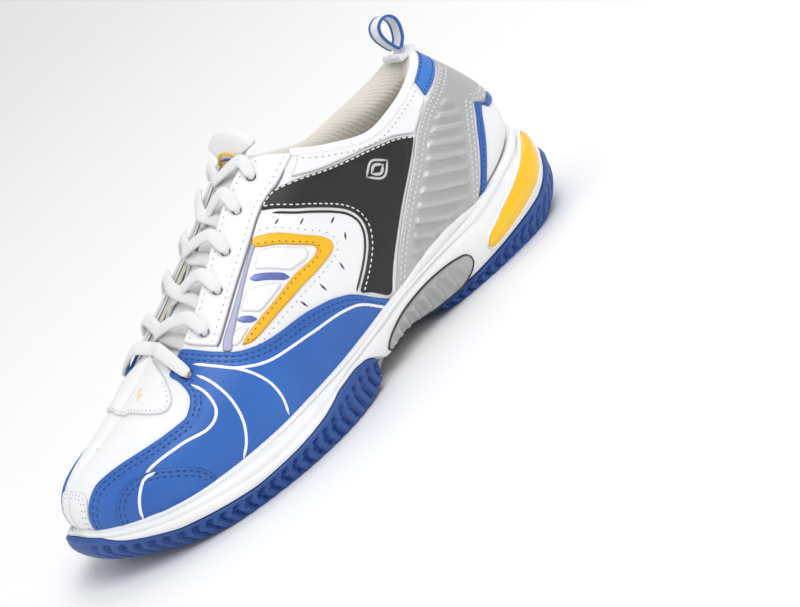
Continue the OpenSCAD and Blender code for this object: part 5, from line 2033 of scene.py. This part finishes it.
@dataclass
class Collar:
    """Padded collar roll in cream mesh with a knitted rim."""

    last_station: float = 5.75
    fill: float = 0.8
    rim_width: float = 4.6
    rim_thick: float = 2.2

    def build(self) -> None:
        """Sweep the roll round the ankle opening."""
        s = np.linspace(0, self.last_station, 60)
        # each point: distance off the form, and height over the crest or, if negative, depth under it
        section = [(-2.5, -52), (-4.4, -46), (-7.0, -36), (-9.2, -24), (-10.6, -14), (-10.8, -7), (-9.8, -1.5),
                   (-7.2, 2.4), (-3.6, 3.6), (-0.6, 2.8), (0.9, 0.8), (1.0, -1.2)]
        section = curve(section, 4)
        back = curve([(-0.6, -1.2), (-1.6, -8), (-2.2, -30), (-2.2, -52)], 4)
        roll, rear = [], []
        for side, line in ((Side.INNER, s[::-1][:-1]), (Side.OUTER, s)):
            for k in line:
                roll.append(self._section(side, k, section))
                rear.append(self._section(side, k, back))
        roll, rear = np.stack(roll), np.stack(rear)
        full = np.concatenate([roll, rear[:, 1:]], 1)
        pad = make_piece("collar_roll", MESH, full.reshape(-1, 3), tube_faces(*full.shape[:2]), "shoe",
                         cloth_map(full), replaces=("collar_padding",))
        self._rim(s)

    @staticmethod
    def _section(side: Side, k: float, section: Array) -> Array:
        """Points of a section at one station.

        Args:
            side: Side of the shoe.
            k: Station.
            section: Distance off the form and height over the crest of each point.

        Returns:
            The points.
        """
        thick = np.interp(k, [0, 2.4, 3.4, 5.75], [1.3, 1.2, 0.9, 0.5])
        high = np.interp(k, [0, 4.6, 5.75], [1.0, 0.9, 0.3])
        off = np.where(section[:, 0] < -2.3, section[:, 0] * thick, section[:, 0])
        b = section[:, 1]
        length = np.linalg.norm(LAST.skin(side, k, 1.0) - LAST.skin(side, k, 0.9)) * 10
        t = np.clip(1 + np.minimum(b, 0) / length, 0.1, 0.999)
        p = LAST.on(side, k, t, off)
        p[:, 2] += np.maximum(b, 0) * high
        return p

    def _rim(self, s: Array) -> None:
        """Narrow white binding where the mesh meets the leather.

        Args:
            s: Stations from the heel to the front of the roll.
        """
        rows, ups = [], []
        for side, line in ((Side.INNER, s[::-1][:-1]), (Side.OUTER, s)):
            for k in line:
                p = self._section(side, k, np.array([[0.1, 1.4], [0.1, 0.0]]))
                rows.append(p[0])
                ups.append(LAST.normal(side, np.array(k), np.array(0.97)) + [0, 0, 0.5])
        path, ups = np.stack(rows), np.stack(ups)
        verts, faces, cloth = sweep(path, ups, np.full(len(path), self.rim_width),
                                    np.full(len(path), self.rim_thick), 12, 2.2)
        make_piece("collar_binding", KNIT, verts, faces, "shoe", cloth)


# Where each climb crosses the middle of the throat, by its upper eyelet.
CROSS_X = (0, 57, 41, 25, 9, -7)
CROSS_Z = (0, 71.5, 81.5, 91.5, 100, 107.5)


@dataclass
class Lacing:
    """One flat lace along its whole crossing route, with sizes in millimetres."""

    wide: float = 6.6
    thick: float = 2.3
    over: float = 4.15
    under: float = -4.0
    pass_gap: float = 3.1

    def build(self) -> None:
        """Sweep the lace and make it one piece."""
        knots = self._route()
        place = curve([k[0] for k in knots], 9)
        up = curve([k[1] for k in knots], 9)
        width = np.clip(curve([[k[2]] for k in knots], 9)[:, 0], 2.6, self.wide)
        thick = self.thick + (self.wide - width) * 0.22
        verts, faces, cloth = sweep(place, up, width, thick, 16, 2.3)
        make_piece("lace_flat", LACE, verts, faces, "shoe", cloth, sharp=80, replaces=("lace",))

    @staticmethod
    def _knot(side: Side, s: float, t: float, off: float, width: float) -> tuple:
        """Place, facing direction and width of the lace at a spot of the upper."""
        at = (np.array(s, float), np.array(t, float))
        return LAST.on(side, *at, np.array(off)), LAST.normal(side, *at), width

    def _climb(self, side: Side, k: int, lift: float) -> list:
        """From an eyelet, under the edge and over to the next one on the other side.

        Args:
            side: Side that it starts on.
            k: Number of the eyelet that it reaches.
            lift: Extra height where it crosses the middle.

        Returns:
            Place, facing direction and width of each knot.
        """
        other = Side(-side.value)
        (s0, t0), (s1, t1) = EYELETS[k - 1], EYELETS[k]
        q, w = s0 + (s1 - s0) * 0.25, s0 + (s1 - s0) * 0.85
        throat_q, throat_w = float(lookup(q, THROAT)), float(lookup(w, THROAT))
        cross = np.array([CROSS_X[k], 0.0, CROSS_Z[k] + lift])
        up = unit(LAST.normal(Side.OUTER, np.array((s0 + s1) / 2), np.array(1.0)) * [1, 0, 1])
        return [self._knot(side, s0, t0, self.under, 3.2),
                self._knot(side, q, throat_q + 0.035, self.under + 0.3, self.wide * 0.9),
                (cross, up, self.wide),
                self._knot(other, w, throat_w + 0.01, self.over + 0.3, self.wide),
                self._knot(other, s1, t1 + 0.012, self.over, self.wide * 0.8),
                self._knot(other, s1, t1, 1.5, 3.0)]

    def _half(self, side: Side) -> list:
        """All climbs that start at one of the two lowest eyelets.

        Args:
            side: Side of that eyelet.

        Returns:
            The knots.
        """
        out = [self._knot(side, EYELETS[0][0], EYELETS[0][1] + 0.012, self.over, self.wide * 0.8),
               self._knot(side, *EYELETS[0], 1.5, 3.0)]
        for k in range(1, 6):
            here = side if k % 2 == 1 else Side(-side.value)
            out += self._climb(here, k, 0.0 if side is Side.OUTER else self.pass_gap)
        end = Side(-side.value)
        out += [self._knot(end, *EYELETS[5], self.under, 3.2), self._knot(end, 6.7, 0.78, self.under, 4.5),
                self._knot(end, 6.5, 0.66, self.under - 0.2, 4.0)]
        return out

    def _route(self) -> list:
        """The lace from one tucked end to the other.

        Returns:
            The knots.
        """
        up = unit(LAST.normal(Side.OUTER, np.array(9.7), np.array(1.0)) * [1, 0, 1])
        bar = [self._knot(Side.INNER, 9.7, 0.8, self.over + 0.8, self.wide),
               (np.array([64.0, -1.0, 69.5]), up, self.wide),
               self._knot(Side.OUTER, 9.7, 0.8, self.over + 0.8, self.wide)]
        return self._half(Side.INNER)[::-1] + bar + self._half(Side.OUTER)


HINGE = np.array([-124.5, 0.0, 103.4])
TAB = [(-4.4, 4), (-5.6, 7), (-6.3, 10.5), (-5.4, 14), (-2.6, 16.4), (1, 16.6), (4.2, 14.8), (5.4, 11.5), (4.9, 8),
       (3.6, 5)]


@dataclass
class PullTab:
    """Webbing loop at the heel with coloured selvedges, and its sewn base, with sizes in millimetres."""

    web: float = 6.2
    web_t: float = 1.3
    selvedge: float = 1.7
    selvedge_t: float = 1.35
    selvedge_at: float = 3.7
    base_half: float = 7.0

    def build(self) -> None:
        """Build the loop, its two edges and the base."""
        points = [(-0.4, 0.2), (-2.6, 2.0)] + TAB + [(2.0, 2.0), (0.4, 0.2)]
        line = curve(points, 8)
        path = HINGE + np.column_stack([line[:, 0], np.zeros(len(line)), line[:, 1]])
        across = np.array([0.0, 1.0, 0.0])
        ups = np.cross(np.gradient(path, axis=0), across)
        for name, finish, shift, wide, thick, nodes in (
                ("pull_tab_webbing", WEBBING, 0.0, self.web, self.web_t, ("pull_tab",)),
                ("pull_tab_edge_outer", SKY, self.selvedge_at, self.selvedge, self.selvedge_t, ()),
                ("pull_tab_edge_inner", SKY, -self.selvedge_at, self.selvedge, self.selvedge_t, ())):
            verts, faces, cloth = sweep(path + across * shift, ups, np.full(len(path), wide),
                                        np.full(len(path), thick), 12, 3.2)
            make_piece(name, finish, verts, faces, "heel_tab", cloth, replaces=nodes)
        self._base()

    def _base(self) -> None:
        """Folded leather base that holds the loop."""
        y = np.linspace(-self.base_half, self.base_half, 15)
        profile = [(-5.2, -4.2), (-5.5, -1.6), (-4.2, -0.6), (-2.7, -1.4), (-1.4, -2.6), (0, -2.95), (1.4, -2.6),
                   (2.7, -1.4), (4.2, -0.6), (5.5, -1.6), (5.2, -4.2)]
        profile = curve(profile, 4)
        m = len(profile)
        rows = [HINGE + np.column_stack([profile[:, 0], np.full(m, k), profile[:, 1] - 0.006 * k * k]) for k in y]
        verts = np.vstack(rows)
        make_piece("tab_base_leather", WHITE, verts, tube_faces(len(y), m), "shoe", verts[:, :2] / 10, UNWORN,
                   replaces=("tab_anchor",))


@dataclass
class Studio:
    """Pale floor, soft lights and the camera."""

    azimuth: float = 150.8
    elevation: float = 18.9
    roll: float = -32.3
    distance: float = 1138.0
    lens: float = 108.7
    target: tuple = (-52.7, 0.0, 7.1)
    floor_r: float = 1.1
    wall_r: float = 3.2

    def build(self) -> None:
        """Build all three."""
        self._floor()
        self._camera()
        world = bpy.data.worlds.new("studio_air")
        world.use_nodes = True
        world.node_tree.nodes["Background"].inputs["Color"].default_value = (1.0, 1.0, 1.0, 1)
        world.node_tree.nodes["Background"].inputs["Strength"].default_value = 0.55
        bpy.context.scene.world = world
        for name, azimuth, elevation, size, power in (
                ("key", 175, 58, 1.1, 15.0), ("fill", 85, 30, 1.6, 4.0), ("rim", 290, 50, 1.4, 7.0)):
            self._light(name, azimuth, elevation, size, power)
        bpy.context.scene.view_settings.view_transform = "Standard"

    @staticmethod
    def _toward(azimuth: float, elevation: float) -> Array:
        """Direction from the object to a light or the camera."""
        a, e = math.radians(azimuth), math.radians(elevation)
        return np.array([math.sin(a) * math.cos(e), -math.cos(a) * math.cos(e), math.sin(e)])

    def _floor(self) -> None:
        """Round floor that curves up into a low wall."""
        r = np.concatenate([[0.02], np.linspace(0.1, self.floor_r, 8),
                            self.floor_r + (self.wall_r - self.floor_r) * np.sin(np.linspace(0.1, 1.57, 24))])
        z = np.concatenate([np.zeros(9), (self.wall_r - self.floor_r) * (1 - np.cos(np.linspace(0.1, 1.57, 24)))])
        a = 2 * math.pi * np.arange(96) / 96
        verts = np.stack([r[:, None] * np.cos(a), r[:, None] * np.sin(a), np.broadcast_to(z[:, None], (33, 96))], -1)
        mesh = bpy.data.meshes.new("studio_floor")
        faces = grid_faces(33, 96, wrap=True) + [tuple(range(96))[::-1]]
        mesh.from_pydata(verts.reshape(-1, 3).tolist(), [], faces)
        mesh.polygons.foreach_set("use_smooth", np.ones(len(mesh.polygons), bool))
        mat = bpy.data.materials.new("pale_floor")
        mat.use_nodes = True
        shader = mat.node_tree.nodes["Principled BSDF"]
        shader.inputs["Base Color"].default_value = (0.93, 0.93, 0.935, 1)
        shader.inputs["Roughness"].default_value = 0.6
        mesh.materials.append(mat)
        obj = bpy.data.objects.new("studio_floor", mesh)
        bpy.context.collection.objects.link(obj)

    def _light(self, name: str, azimuth: float, elevation: float, size: float, power: float) -> None:
        """One soft square light aimed at the shoe.

        Args:
            name: Name of the light.
            azimuth: Degrees round the shoe.
            elevation: Degrees over the floor.
            size: Side of the square in metres.
            power: Watts.
        """
        data = bpy.data.lights.new(name, "AREA")
        data.size, data.energy = size, power
        obj = bpy.data.objects.new(name, data)
        bpy.context.collection.objects.link(obj)
        away = self._toward(azimuth, elevation)
        self._aim(obj, away * 1.7 + np.array([0, 0, 0.05]), -away, 0.0)

    def _camera(self) -> None:
        """Long-lens camera, rolled so that the sole line runs down to the toe."""
        data = bpy.data.cameras.new("camera")
        data.lens, data.sensor_width = self.lens, 36.0
        obj = bpy.data.objects.new("camera", data)
        bpy.context.collection.objects.link(obj)
        away = self._toward(self.azimuth, self.elevation)
        place = (np.array(self.target) + SHIFT + away * self.distance) * MM
        self._aim(obj, place, -away, self.roll)
        bpy.context.scene.camera = obj

    @staticmethod
    def _aim(obj: bpy.types.Object, place: Array, look: Array, roll: float) -> None:
        """Put an object at a place, looking along a direction.

        Args:
            obj: The light or camera.
            place: Where it stands, in metres.
            look: Unit vector that it looks along.
            roll: Degrees that it turns about that vector.
        """
        right = unit(np.cross(look, np.array([0.0, 0.0, 1.0])))
        up = np.cross(right, look)
        a = math.radians(roll)
        x = right * math.cos(a) + up * math.sin(a)
        y = up * math.cos(a) - right * math.sin(a)
        rows = [[x[i], y[i], -look[i], place[i]] for i in range(3)]
        obj.matrix_world = Matrix(rows + [[0, 0, 0, 1]])


def main() -> None:
    """Build the shoe, the light and the camera."""
    logging.basicConfig(level=logging.INFO, format="%(message)s")
    for part in (Upper(), Sole(), Tongue(), Collar(), Lacing(), PullTab(), Studio()):
        part.build()
        LOG.info("%s is built", type(part).__name__)


if __name__ == "__main__":
    main()
